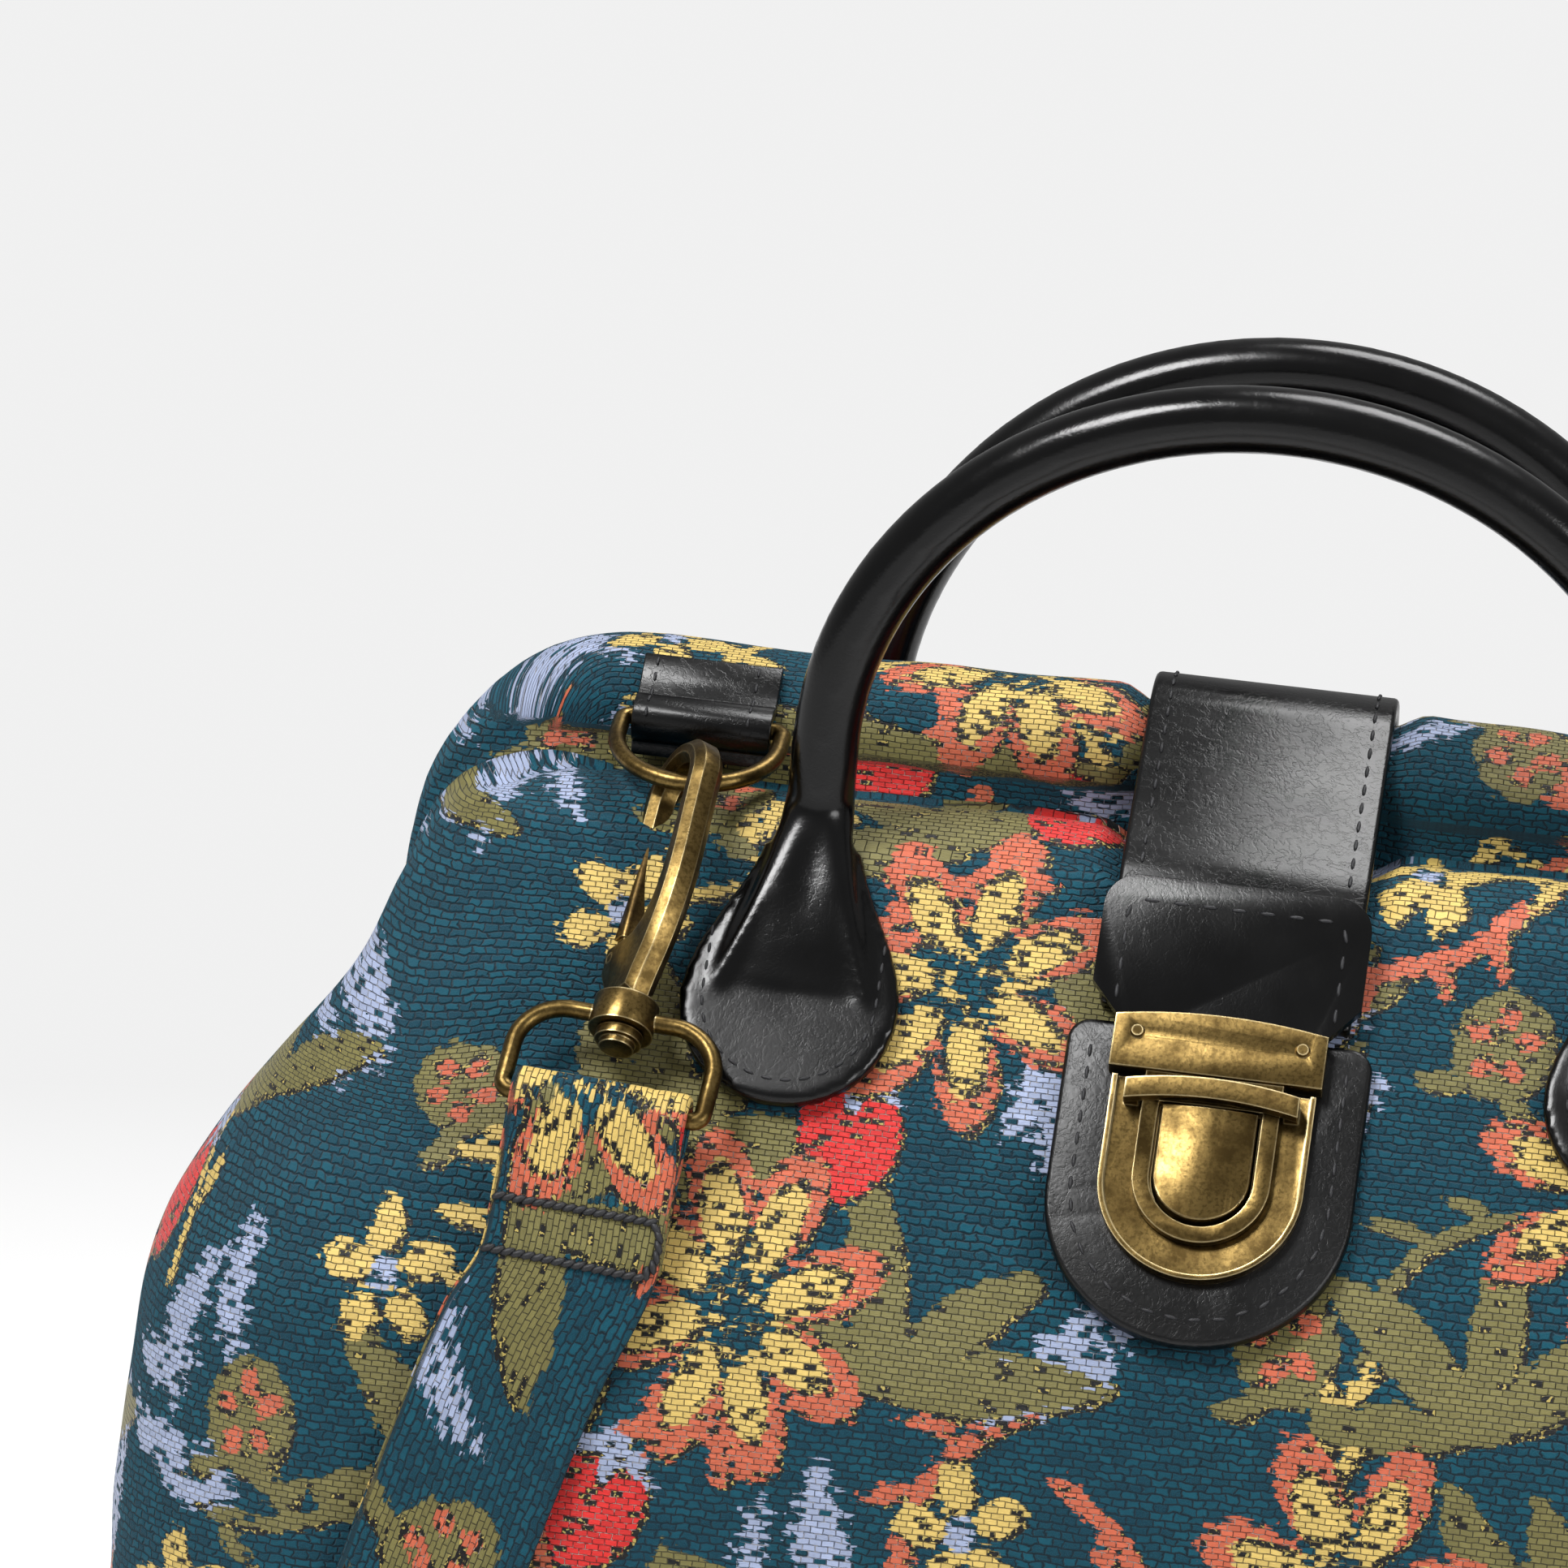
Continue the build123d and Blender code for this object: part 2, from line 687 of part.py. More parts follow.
# D-ring tabs and D-rings
def ring_tab(side):
    """A leather strip over the back roll that holds the ring's bar against it."""
    inner = back_roll_r + seat
    outer = inner + tab_strip_t
    bar_hole = ring_wire_r + bar_clear
    with BuildPart() as strip:
        with BuildSketch(Plane(origin=(side * ring_x, 0, 0), x_dir=(0, 1, 0), z_dir=(1, 0, 0))):
            with Locations((back_roll_y, back_roll_z)):
                Circle(outer)
            with Locations((bar_y, bar_z)):
                Circle(bar_hole + tab_strip_t)
            with Locations((back_roll_y, back_roll_z)):
                Circle(inner, mode=Mode.SUBTRACT)
            with Locations((bar_y, bar_z)):
                Circle(bar_hole, mode=Mode.SUBTRACT)
            # the leather stays open towards the roll, where the bar goes in
            inward = Location((bar_y, bar_z, 0), (0, 0, 180 - 90 + ring_bar_angle))
            with Locations(inward * Location((-bar_hole, 0, 0))):
                Rectangle(2 * bar_hole, 2 * bar_hole, mode=Mode.SUBTRACT)
            start = radians(90 - tab_strip_back)
            end = radians(90 + tab_strip_front)
            reach = 3 * outer
            with BuildLine():
                Polyline(
                    (back_roll_y, back_roll_z),
                    (back_roll_y + reach * cos(start), back_roll_z + reach * sin(start)),
                    (back_roll_y - reach, back_roll_z + reach * 1.2),
                    (back_roll_y + reach * cos(end), back_roll_z + reach * sin(end)),
                    close=True,
                )
            make_face(mode=Mode.INTERSECT)
        extrude(amount=tab_strip_w / 2, both=True)
    return strip.part


def d_ring(side):
    """Round wire bent to a D: a straight bar, two shoulders and a half-round bow."""
    down = Vector(0, wire_y - bar_y, wire_z - bar_z).normalized()
    place = Plane(origin=(side * ring_x, bar_y, bar_z), x_dir=(1, 0, 0), z_dir=Vector(1, 0, 0).cross(-down))
    half = tab_strip_w / 2 + ring_shoulder_r + 0.1
    with BuildPart() as ring:
        with BuildLine(place) as path:
            FilletPolyline(
                (-half, 0),
                (half, 0),
                (half, -ring_drop),
                (-half, -ring_drop),
                radius=(ring_shoulder_r, ring_shoulder_r, half - 0.1, half - 0.1),
                close=True,
            )
        run = path.wire()
        with BuildSketch(Plane(origin=run @ 0, z_dir=run % 0)):
            Circle(ring_wire_r)
        sweep()
    return ring.part


# Clip: hook, gate, gate pin and swivel eye
hook_base = barrel_h / 2 + swivel_gap
throat_v = hook_reach - (throat_r - ring_wire_r - throat_play)
hook_r = throat_r + throat_bar
tip_v = throat_v - 7.6
cheek_v = gate_pivot_v + 3.4


def clip_hook(side):
    """The hook: a bevelled spine, throat and tip, with the stud that it turns on."""
    place = hook_plane(side)
    with BuildPart() as body:
        with BuildSketch(place):
            with BuildLine():
                Line((-4.2, hook_base), (4.2, hook_base))
                Spline(
                    (4.2, hook_base),
                    (7.4, hook_base + 8),
                    (10.3, hook_base + 21),
                    (hook_r, throat_v),
                    tangents=((0.25, 1), (0, 1)),
                )
                ThreePointArc((hook_r, throat_v), (0, throat_v + hook_r), (-hook_r, throat_v))
                Line((-hook_r, throat_v), (-hook_r + 0.5, tip_v))
                Line((-hook_r + 0.5, tip_v), (-throat_r, tip_v))
                Line((-throat_r, tip_v), (-throat_r, throat_v))
                ThreePointArc((-throat_r, throat_v), (0, throat_v + throat_r), (throat_r, throat_v))
                Spline(
                    (throat_r, throat_v),
                    (5.4, throat_v - 14),
                    (2.8, cheek_v + 2.6),
                    (-1.4, cheek_v),
                    tangents=((0, -1), (-1, -0.1)),
                )
                Line((-1.4, cheek_v), (-9.0, cheek_v))
                Line((-9.0, cheek_v), (-9.0, gate_pivot_v - 3.4))
                Line((-9.0, gate_pivot_v - 3.4), (-4.2, hook_base))
            make_face()
        extrude(amount=hook_t / 2, both=True)
        long_edges = body.faces().filter_by(lambda f: abs(f.normal_at().dot(place.z_dir)) > 0.999).edges()
        chamfer(long_edges, hook_bevel)
        with BuildSketch(place):
            with Locations((gate_pivot_u - 0.2, gate_pivot_v + 0.3)):
                Rectangle(7.2, 7.6)
        extrude(amount=(gate_lug_t + 0.2) / 2, both=True, mode=Mode.SUBTRACT)
        with BuildSketch(place):
            with Locations((gate_pivot_u, gate_pivot_v)):
                Circle(gate_pin_r + rivet_clear / 2)
        extrude(amount=hook_t, both=True, mode=Mode.SUBTRACT)
        stud_plane = Plane(origin=place.origin, z_dir=place.y_dir)
        with BuildSketch(stud_plane.offset(-hook_base - 1.6)):
            Circle(stud_r)
        extrude(amount=2 * hook_base + 2.2)
        with BuildSketch(stud_plane.offset(-hook_base)):
            Circle(4.0)
        extrude(amount=-1.7)
        with BuildSketch(stud_plane.offset(-hook_base - 1.6)):
            Circle(3.0)
        extrude(amount=-1.3)
    return body.part


def clip_gate(side):
    """The sprung gate: a round-edged bar with a lug between the hook's cheeks."""
    place = hook_plane(side)
    left = gate_pivot_u - 2.5
    with BuildPart() as gate:
        with BuildSketch(place):
            with Locations((left + gate_w / 2, (cheek_v + 1.0 + tip_v - gate_gap) / 2)):
                Rectangle(gate_w, tip_v - gate_gap - cheek_v - 1.0)
        extrude(amount=gate_t / 2, both=True)
        fillet(gate.edges().filter_by(Axis(origin=(0, 0, 0), direction=place.y_dir)), 1.2)
        with BuildSketch(place):
            with Locations((gate_pivot_u, gate_pivot_v)):
                Circle(2.3)
            with Locations((gate_pivot_u - 0.5, (gate_pivot_v + cheek_v + 1.5) / 2)):
                Rectangle(3.2, cheek_v + 1.5 - gate_pivot_v)
        extrude(amount=gate_lug_t / 2, both=True)
        with BuildSketch(place):
            with Locations((gate_pivot_u, gate_pivot_v)):
                Circle(gate_pin_r + rivet_clear / 2)
        extrude(amount=gate_t, both=True, mode=Mode.SUBTRACT)
    return gate.part


def gate_pin(side):
    with BuildPart() as pin:
        with BuildSketch(hook_plane(side)):
            with Locations((gate_pivot_u, gate_pivot_v)):
                Circle(gate_pin_r)
        extrude(amount=hook_t / 2, both=True)
    return pin.part


def clip_eye(side):
    """The eye: a wire loop joined to the barrel that the hook's stud turns in."""
    place = clip_plane(side)
    half = eye_w / 2
    barrel_plane = Plane(origin=place.origin, z_dir=place.y_dir)
    with BuildPart() as eye:
        with BuildLine(place) as path:
            FilletPolyline(
                (-half, 0),
                (half, 0),
                (half, -eye_drop),
                (-half, -eye_drop),
                radius=(eye_corner_r, eye_corner_r, eye_foot_r, eye_foot_r),
                close=True,
            )
        run = path.wire()
        with BuildSketch(Plane(origin=run @ 0, z_dir=run % 0)):
            Circle(eye_wire_r)
        sweep()
        with BuildSketch(barrel_plane):
            Circle(barrel_r)
        extrude(amount=barrel_h / 2, both=True)
        with BuildSketch(barrel_plane):
            Circle(stud_r + swivel_gap / 2)
        extrude(amount=barrel_h, both=True, mode=Mode.SUBTRACT)
    return eye.part


# Handles: one rolled piece of leather each, from tab to tab
def handle(slope, lean_back, drop, stand):
    """A round arch that runs down through two necks into stitched tabs."""
    up = Vector(0, 0, 1).rotate(Axis.X, lean_back)
    neck_level = neck_rise - drop
    tab_top = neck_level - 8
    tab_low = tab_end + drop
    middle = slope.from_local_coords(Vector(0, neck_level, tab_t + seat + stand))
    arch_plane = Plane(origin=middle, x_dir=(1, 0, 0), z_dir=Vector(1, 0, 0).cross(up))
    with BuildPart() as leather:
        with BuildLine(arch_plane):
            Line((-handle_x, 0), (-handle_x, handle_leg))
            EllipticalCenterArc((0, handle_leg), handle_x, handle_arch, start_angle=0, arc_size=180)
            Line((handle_x, handle_leg), (handle_x, 0))
        with BuildSketch(Plane(origin=arch_plane.from_local_coords((-handle_x, 0, 0)), z_dir=up)):
            Circle(handle_r)
        sweep()
        for side in (-1, 1):
            neck = arch_plane.from_local_coords(Vector(side * handle_x, 0, 0))
            down = slope.y_dir * -1
            x = slope.x_dir.X * side * handle_x
            root = slope.from_local_coords(Vector(x, -6.0 - drop, seat + 0.9 + tab_t / 2))
            with BuildSketch(Plane(origin=neck, x_dir=(1, 0, 0), z_dir=up * -1)):
                Circle(handle_r)
            with BuildSketch(Plane(origin=root, x_dir=(1, 0, 0), z_dir=down)):
                Ellipse(neck_w, tab_t / 2 + 0.9)
            loft()
            with BuildSketch(slope.offset(seat)):
                with BuildLine():
                    radius = tab_w / 2
                    wide = radius - tab_low
                    Line((x - 8, tab_top), (x + 8, tab_top))
                    Spline((x + 8, tab_top), (x + radius, wide), tangents=((1.2, -1), (0, -1)))
                    ThreePointArc((x + radius, wide), (x, -tab_low), (x - radius, wide))
                    Spline((x - radius, wide), (x - 8, tab_top), tangents=((0, 1), (1.2, 1)))
                make_face()
            extrude(amount=tab_t)
    return leather.part


# Cloth panels
with BuildPart() as cup_room:
    with BuildSketch(slope_level(patch_face - cup_depth - 0.3)):
        add(
            d_outline(button_w + 2 * cup_room_edge, button_top - cup_room_edge, button_end + cup_room_edge)
        )
    extrude(amount=cup_depth)

dents = [clip_dent(-1), clip_dent(1)]
front_cut = above(above(shell, gusset_plane(-1)), base_plane)
with BuildPart() as front_panel:
    add(front_cut)
    add([lock_leather_base.part, cup_room.part], mode=Mode.SUBTRACT)
    add(dents, mode=Mode.SUBTRACT)
front_panel.part.label = "front_panel"

back_panel = above(above(shell, gusset_plane(1)), base_plane)
back_panel.label = "back_panel"

gussets = above(below(below(shell, gusset_plane(-1)), gusset_plane(1)), base_plane)
left_gusset = below(gussets, Plane.YZ)
left_gusset.label = "left_gusset"
right_gusset = above(gussets, Plane.YZ)
right_gusset.label = "right_gusset"

base_panel = below(shell, base_plane)
base_panel.label = "base_panel"

with BuildPart() as front_casing:
    add(front_casing_form)
    add(dents, mode=Mode.SUBTRACT)
front_casing.part.label = "front_casing"

back_casing = casing(back_roll, back_plane, back_height, Keep.BOTTOM, -mouth_gap / 2)
back_casing.label = "back_casing"

# Base board and feet
board_z = base_z + wall + lining_gap + lining_t + lining_gap
with BuildPart() as base_board:
    with BuildSketch(flat(0, 0, board_z)):
        RectangleRounded(2 * (half_w - wall - board_margin), 2 * (half_d - wall - board_margin), 20)
        with Locations(*feet_places):
            Circle(foot_stud_r + bore_clear, mode=Mode.SUBTRACT)
    extrude(amount=board_t)
base_board.part.label = "base_board"


def foot(x, y):
    """A domed foot whose stud goes up through the base to a washer on the board."""
    top = board_z + board_t
    with BuildPart() as stud:
        with BuildSketch(Plane.XZ):
            with BuildLine():
                Polyline((0, 0), (foot_flat_r, 0))
                ThreePointArc((foot_flat_r, 0), (foot_r - 0.7, base_z * 0.42), (foot_r, base_z))
                Polyline(
                    (foot_r, base_z),
                    (foot_stud_r, base_z),
                    (foot_stud_r, top),
                    (foot_stud_r + 3, top),
                    (foot_stud_r + 3, top + 1),
                    (0, top + 1),
                    (0, 0),
                )
            make_face()
        revolve(axis=Axis.Z)
    return stud.part.translate((x, y, 0))


# Shoulder strap: looped on each eye, down the front, over the floor and back up
def front_surface(z):
    """The front's place in Y at a height."""
    level = body_outside.intersect(flat(0, 0, z))
    return level.faces()[0].bounding_box().min.Y


left_clip = clip_plane(-1)
eye_bar = left_clip.from_local_coords(Vector(0, -eye_drop, 0))
loop_way = Vector(-sin(radians(clip_tilt)), -sin(radians(20)), -cos(radians(20))).normalized()
loop_out = left_clip.x_dir.cross(loop_way * -1).normalized()
loop_way = loop_out.cross(left_clip.x_dir) * -1
loop_inner_r = eye_wire_r + bar_clear
loop_end = eye_bar + loop_way * belt_loop + loop_out * (belt_t / 2)

with BuildPart() as belt_half:
    # the loop: the strap turned round the eye's bar and doubled behind itself
    loop_plane = Plane(origin=eye_bar, x_dir=loop_way, z_dir=left_clip.x_dir)
    with BuildSketch(loop_plane):
        Circle(loop_inner_r + belt_t)
        with BuildLine():
            Polyline(
                (0, loop_inner_r + belt_t),
                (belt_loop * 0.4, belt_t),
                (belt_loop, belt_t),
                (belt_loop, -belt_t),
                (belt_loop * 0.4, -belt_t),
                (0, -loop_inner_r - belt_t),
                close=True,
            )
        make_face()
        Circle(loop_inner_r, mode=Mode.SUBTRACT)
    extrude(amount=belt_w / 2, both=True)

# Stations of the free run: place, direction and the way its width points
stations = [(loop_end - loop_way * 6, loop_way, left_clip.x_dir), (loop_end, loop_way, left_clip.x_dir)]
fall = [(-107.5, 146.0), (-113.5, 126.0), (-120.0, 102.0), (-127.5, 72.0), (-135.0, belt_fall_end)]
for (x, z), (before_x, before_z) in zip(fall, [(loop_end.X, loop_end.Z)] + fall):
    y = front_surface(z) - belt_off
    way = Vector(x - before_x, 0, z - before_z).normalized()
    stations.append((Vector(x, y, z), way, Vector(-way.Z, 0, way.X)))
last, way, _ = stations[-1]
splay = atan2(-way.X, -way.Z)
bend_r = belt_fall_end - belt_t / 2 - 0.3
for step in range(1, 7):
    turn = radians(15 * step)
    place = last + Vector(-bend_r * turn * sin(splay), -bend_r * (1 - cos(turn)), -bend_r * sin(turn))
    way = Vector(-sin(splay), -cos(splay) * sin(turn), -cos(splay) * cos(turn))
    width = Vector(cos(splay), -sin(splay) * sin(turn), -sin(splay) * cos(turn))
    stations.append((place, way, width))
landing = stations[-1][0]
heading = Vector(-sin(splay), -cos(splay), 0)
for step in range(1, 7):
    turn = radians(15 * step)
    place = landing + heading * (belt_twist_run * step / 6)
    height = 0.3 + belt_w / 2 * sin(turn) + belt_t / 2 * cos(turn)
    width = Vector(cos(splay) * cos(turn), -sin(splay) * cos(turn), sin(turn))
    stations.append((Vector(place.X, place.Y, height), heading, width))
edge_up = Vector(0, 0, 1)
corner = stations[-1][0]
facing = atan2(heading.Y, heading.X)
centre = corner + Vector(-sin(facing), cos(facing), 0) * belt_turn_r
for step in range(1, 7):
    turn = facing + radians(belt_turn) * step / 6
    place = centre + Vector(sin(turn), -cos(turn), 0) * belt_turn_r
    stations.append((place, Vector(cos(turn), sin(turn), 0), edge_up))
corner = stations[-1][0]
rest = -(facing + radians(belt_turn))
wide_r = -corner.X / sin(rest)
centre = corner + Vector(sin(rest), cos(rest), 0) * wide_r
for step in range(1, 6):
    turn = -rest * (1 - step / 5)
    place = centre + Vector(sin(turn), -cos(turn), 0) * wide_r
    stations.append((place, Vector(cos(turn), sin(turn), 0), edge_up))

with BuildPart() as belt_run:
    for place, way, width in stations:
        with BuildSketch(Plane(origin=place, x_dir=width, z_dir=way)):
            Rectangle(belt_w, belt_t)
    loft(ruled=True)

with BuildPart() as shoulder_strap:
    add(belt_half.part)
    add(belt_run.part)
    mirror(about=Plane.YZ)
shoulder_strap.part.label = "shoulder_strap"

pieces = [
    frame_front, frame_back, left_rivet, right_rivet, lining, base_board.part,
    front_panel.part, back_panel, left_gusset, right_gusset, base_panel,
    front_casing.part, back_casing, closure_strap.part, closure_flap.part,
    lock_leather_base.part, lock_plate.part, lock_button.part, button_spring.part,
    lock_catch.part, catch_rivets.part, shoulder_strap.part,
]
for x, y in feet_places:
    piece = foot(x, y)
    row = "back" if y > 0 else "front"
    column = "right" if x > 0 else "left"
    piece.label = "foot_middle" if x == 0 else "foot_" + row + "_" + column
    pieces.append(piece)
handle_front = handle(front_slope, front_handle_lean, 0, 0)
handle_front.label = "handle_front"
handle_back = handle(back_slope, back_handle_lean, back_handle_drop, back_handle_stand)
handle_back.label = "handle_back"
pieces += [handle_front, handle_back]
for side, hand in ((-1, "left"), (1, "right")):
    for maker in (ring_tab, d_ring, clip_hook, clip_gate, gate_pin, clip_eye):
        piece = maker(side)
        piece.label = maker.__name__ + "_" + hand
        pieces.append(piece)

for piece in pieces:
    export_step(piece, "parts/" + piece.label + ".step")
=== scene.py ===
# %% [markdown]
# A frame-mouth carpet bag in woven chenille cloth, with rolled leather handles, a tuck lock
# and a clip-on strap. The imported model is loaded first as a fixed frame. Metal pieces keep its
# shapes and get rounder edges, and cloth and leather are built round it.

# %% Load the frame
import bpy
import bmesh
import numpy as np
from math import atan2, ceil, cos, hypot, pi, radians, sin
from mathutils import Matrix, Vector
from mathutils.bvhtree import BVHTree


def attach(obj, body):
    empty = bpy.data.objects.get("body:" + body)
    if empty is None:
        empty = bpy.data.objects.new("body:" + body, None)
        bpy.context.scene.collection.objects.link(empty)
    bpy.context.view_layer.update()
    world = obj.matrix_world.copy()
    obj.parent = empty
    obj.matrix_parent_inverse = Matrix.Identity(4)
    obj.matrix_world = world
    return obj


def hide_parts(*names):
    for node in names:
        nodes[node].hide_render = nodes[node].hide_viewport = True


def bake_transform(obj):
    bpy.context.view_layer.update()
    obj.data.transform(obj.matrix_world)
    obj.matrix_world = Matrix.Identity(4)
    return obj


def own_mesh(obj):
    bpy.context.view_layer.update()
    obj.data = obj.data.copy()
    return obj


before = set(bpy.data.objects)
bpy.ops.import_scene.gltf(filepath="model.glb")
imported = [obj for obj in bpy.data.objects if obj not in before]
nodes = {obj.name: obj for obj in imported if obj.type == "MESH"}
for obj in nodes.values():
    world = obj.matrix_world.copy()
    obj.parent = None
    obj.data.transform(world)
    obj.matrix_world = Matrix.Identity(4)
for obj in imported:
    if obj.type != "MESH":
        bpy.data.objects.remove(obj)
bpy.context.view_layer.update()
MM = 0.001

# %% [markdown]
# The photo looks a little down on the bag from its left, rolled to one side. A camera is a place,
# a direction and a roll, so it is set from a turn, a tilt, a roll and a distance, with a long lens.

# %% Camera
def add_object(name, data):
    """Puts a new object with this data in the scene."""
    thing = bpy.data.objects.new(name, data)
    bpy.context.scene.collection.objects.link(thing)
    return thing


view_turn = radians(6.06)
view_tilt = radians(10.74)
view_roll = radians(5.61)
view_distance = 1426 * MM
view_target = Vector((-78.52, -38.27, 235.77)) * MM
lens_scale = 10446.0  # focal length in pixels of the photo
photo_size = 1932.0  # pixels along a side of the photo
sensor_width = 36.0

right = Vector((cos(view_turn), sin(view_turn), 0))
forward = Vector((
    -sin(view_turn) * cos(view_tilt),
    cos(view_turn) * cos(view_tilt),
    -sin(view_tilt),
))
up = right.cross(forward)
rolled_right = right * cos(view_roll) + up * sin(view_roll)
rolled_up = up * cos(view_roll) - right * sin(view_roll)

camera_data = bpy.data.cameras.new("camera")
camera_data.sensor_width = sensor_width
camera_data.lens = sensor_width * lens_scale / photo_size
camera_data.clip_start = 10 * MM
camera = add_object("camera", camera_data)
axes = Matrix((rolled_right, rolled_up, -forward)).transposed()
camera.matrix_world = Matrix.Translation(view_target - forward * view_distance) @ axes.to_4x4()
bpy.context.scene.camera = camera
print("camera lens", round(camera_data.lens, 1), "mm")

# %% [markdown]
# A helper turns lists of points and faces into an object, and another reads a node's mesh with its
# doubled points merged. Every later piece goes through one of them, so each one sits at the origin
# with its place in its mesh.

# %% Mesh helpers
SMOOTH_ANGLE = radians(38)
SAME_POINT = 0.002 * MM  # points nearer than this are one point
SAME_PLANE = radians(0.8)  # faces that turn less than this are one face


def new_object(name, vertices, faces, smooth=True):
    mesh = bpy.data.meshes.new(name)
    mesh.from_pydata([tuple(v) for v in vertices], [], [tuple(f) for f in faces])
    mesh.update()
    if smooth:
        mesh.shade_smooth()
    return add_object(name, mesh)


def edit_mesh(piece, change):
    """Runs change(bm) on a piece's mesh."""
    bm = bmesh.new()
    bm.from_mesh(piece.data)
    change(bm)
    bm.to_mesh(piece.data)
    bm.free()
    piece.data.update()


def outward(bm):
    bmesh.ops.recalc_face_normals(bm, faces=bm.faces)


def apply_modifiers(piece):
    """Turns what the modifiers make into the piece's own mesh."""
    bpy.context.view_layer.update()
    graph = bpy.context.evaluated_depsgraph_get()
    mesh = bpy.data.meshes.new_from_object(piece.evaluated_get(graph))
    piece.modifiers.clear()
    old = piece.data
    piece.data = mesh
    mesh.name = piece.name
    bpy.data.meshes.remove(old)


def merged_copy(name, source):
    """A new object with a node's mesh, its doubled points merged."""
    bm = bmesh.new()
    bm.from_mesh(nodes[source].data)
    bmesh.ops.remove_doubles(bm, verts=bm.verts, dist=SAME_POINT)
    bmesh.ops.dissolve_limit(bm, angle_limit=SAME_PLANE, verts=bm.verts, edges=bm.edges)
    mesh = bpy.data.meshes.new(name)
    bm.to_mesh(mesh)
    bm.free()
    return add_object(name, mesh)


def shade_by_angle(piece):
    piece.data.shade_smooth()
    piece.data.set_sharp_from_angle(angle=SMOOTH_ANGLE)


def paint(piece, material):
    """Gives a piece this one material."""
    piece.data.materials.clear()
    piece.data.materials.append(material)


def vertex_vectors(mesh, what):
    """The "co" or "normal" of every vertex, one row each."""
    flat = np.empty(len(mesh.vertices) * 3, np.float32)
    mesh.vertices.foreach_get(what, flat)
    return flat.reshape(-1, 3).astype(float)


def set_coordinates(mesh, co):
    mesh.vertices.foreach_set("co", co.astype(np.float32).ravel())
    mesh.update()


def finish_piece(piece, body, slot, *replaced):
    """Rides a finished piece on its body and hides the nodes it stands for."""
    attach(piece, body)
    if replaced:
        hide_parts(*replaced)
    return piece


# %% [markdown]
# Materials are trees of nodes. Most nodes here need only their inputs filled, so one helper makes
# a node, fills or links its inputs by name, and returns it.

# %% Material helpers
class Tree:
    """The node tree of a material or a world, with short calls that add nodes to it."""

    def __init__(self, owner, output="OutputMaterial"):
        owner.use_nodes = True
        self.owner = owner
        self.nodes = owner.node_tree.nodes
        self.links = owner.node_tree.links
        self.nodes.clear()
        self.output = self.add(output)

    def add(self, kind, values=None, **settings):
        node = self.nodes.new("ShaderNode" + kind)
        for key, value in settings.items():
            setattr(node, key, value)
        for key, value in (values or {}).items():
            self.put(node.inputs[key], value)
        return node

    def put(self, socket, value):
        if isinstance(value, bpy.types.NodeSocket):
            self.links.new(value, socket)
        elif isinstance(value, bpy.types.Node):
            self.links.new(value.outputs[0], socket)
        else:
            socket.default_value = value

    def place(self):
        """Each point's place in the object's own coordinates."""
        return self.add("TexCoord").outputs["Object"]

    def stretched(self, vector, scale):
        """A vector with each axis multiplied, which draws a texture out along some of them."""
        return self.add("VectorMath", {0: vector, 1: scale}, operation="MULTIPLY")

    def shifted(self, vector, drift, reach):
        """A vector moved by the colours of a noise, as far as reach along each axis."""
        return self.add("VectorMath", {0: drift, 1: reach, 2: vector}, operation="MULTIPLY_ADD")

    def math(self, operation, a, b=0.0, c=0.0):
        return self.add("Math", {0: a, 1: b, 2: c}, operation=operation).outputs[0]

    def between(self, value, low, high, to_low=0.0, to_high=1.0):
        """value taken from the range low..high to another range, and kept inside it."""
        ranges = {"From Min": low, "From Max": high, "To Min": to_low, "To Max": to_high}
        return self.add("MapRange", {"Value": value, **ranges}).outputs["Result"]

    def mix(self, factor, a, b):
        """Colour a where factor is 0 and b where it is 1."""
        return self.add("Mix", {0: factor, 6: a, 7: b}, data_type="RGBA").outputs[2]

    def blend(self, factor, a, b):
        """Number a where factor is 0 and b where it is 1."""
        return self.add("Mix", {0: factor, 2: a, 3: b}, data_type="FLOAT").outputs[0]

    def attribute(self, name):
        return self.add("Attribute", attribute_name=name).outputs["Fac"]

    def noise(self, vector, scale, detail=2.0, roughness=0.5, output="Fac"):
        values = {"Vector": vector, "Scale": scale, "Detail": detail, "Roughness": roughness}
        return self.add("TexNoise", values).outputs[output]

    def bump(self, height, distance, strength=1.0, normal=None):
        values = {"Height": height, "Distance": distance, "Strength": strength}
        if normal is not None:
            values["Normal"] = normal
        return self.add("Bump", values).outputs[0]

    def finish(self, shader):
        """Shows this shader, and returns the material or world that the tree belongs to."""
        self.put(self.output.inputs["Surface"], shader)
        return self.owner

    def surface(self, **values):
        inputs = {key.replace("_", " "): value for key, value in values.items()}
        return self.finish(self.add("BsdfPrincipled", inputs))


def material_tree(name):
    return Tree(bpy.data.materials.new(name))


def colour(red, green, blue):
    """A colour given as a screen shows it, turned to the linear values that shaders take."""
    return tuple((v / 255) ** 2.2 for v in (red, green, blue)) + (1.0,)


# %% [markdown]
# The cloth is chenille: rows of soft blue-green tufts, with flowers and leaves woven in flat satin
# stitches. Each vertex carries how far it is from every flower colour's edge, and the material
# cuts those numbers off stitch by stitch, so that outlines step along the weave as woven ones do.

# %% Yarns
CLOTH_UV = "Cloth"
UV_SCALE = 100.0  # one UV unit is this many millimetres of cloth
TUFT = (2.3, 1.35)  # millimetres along and across a row
STITCH = (2.1, 1.02)

yarns = {
    "olive": colour(116, 110, 66),
    "lavender": colour(158, 170, 200),
    "coral": colour(200, 100, 72),
    "cream": colour(214, 184, 104),
    "red": colour(208, 44, 42),
}
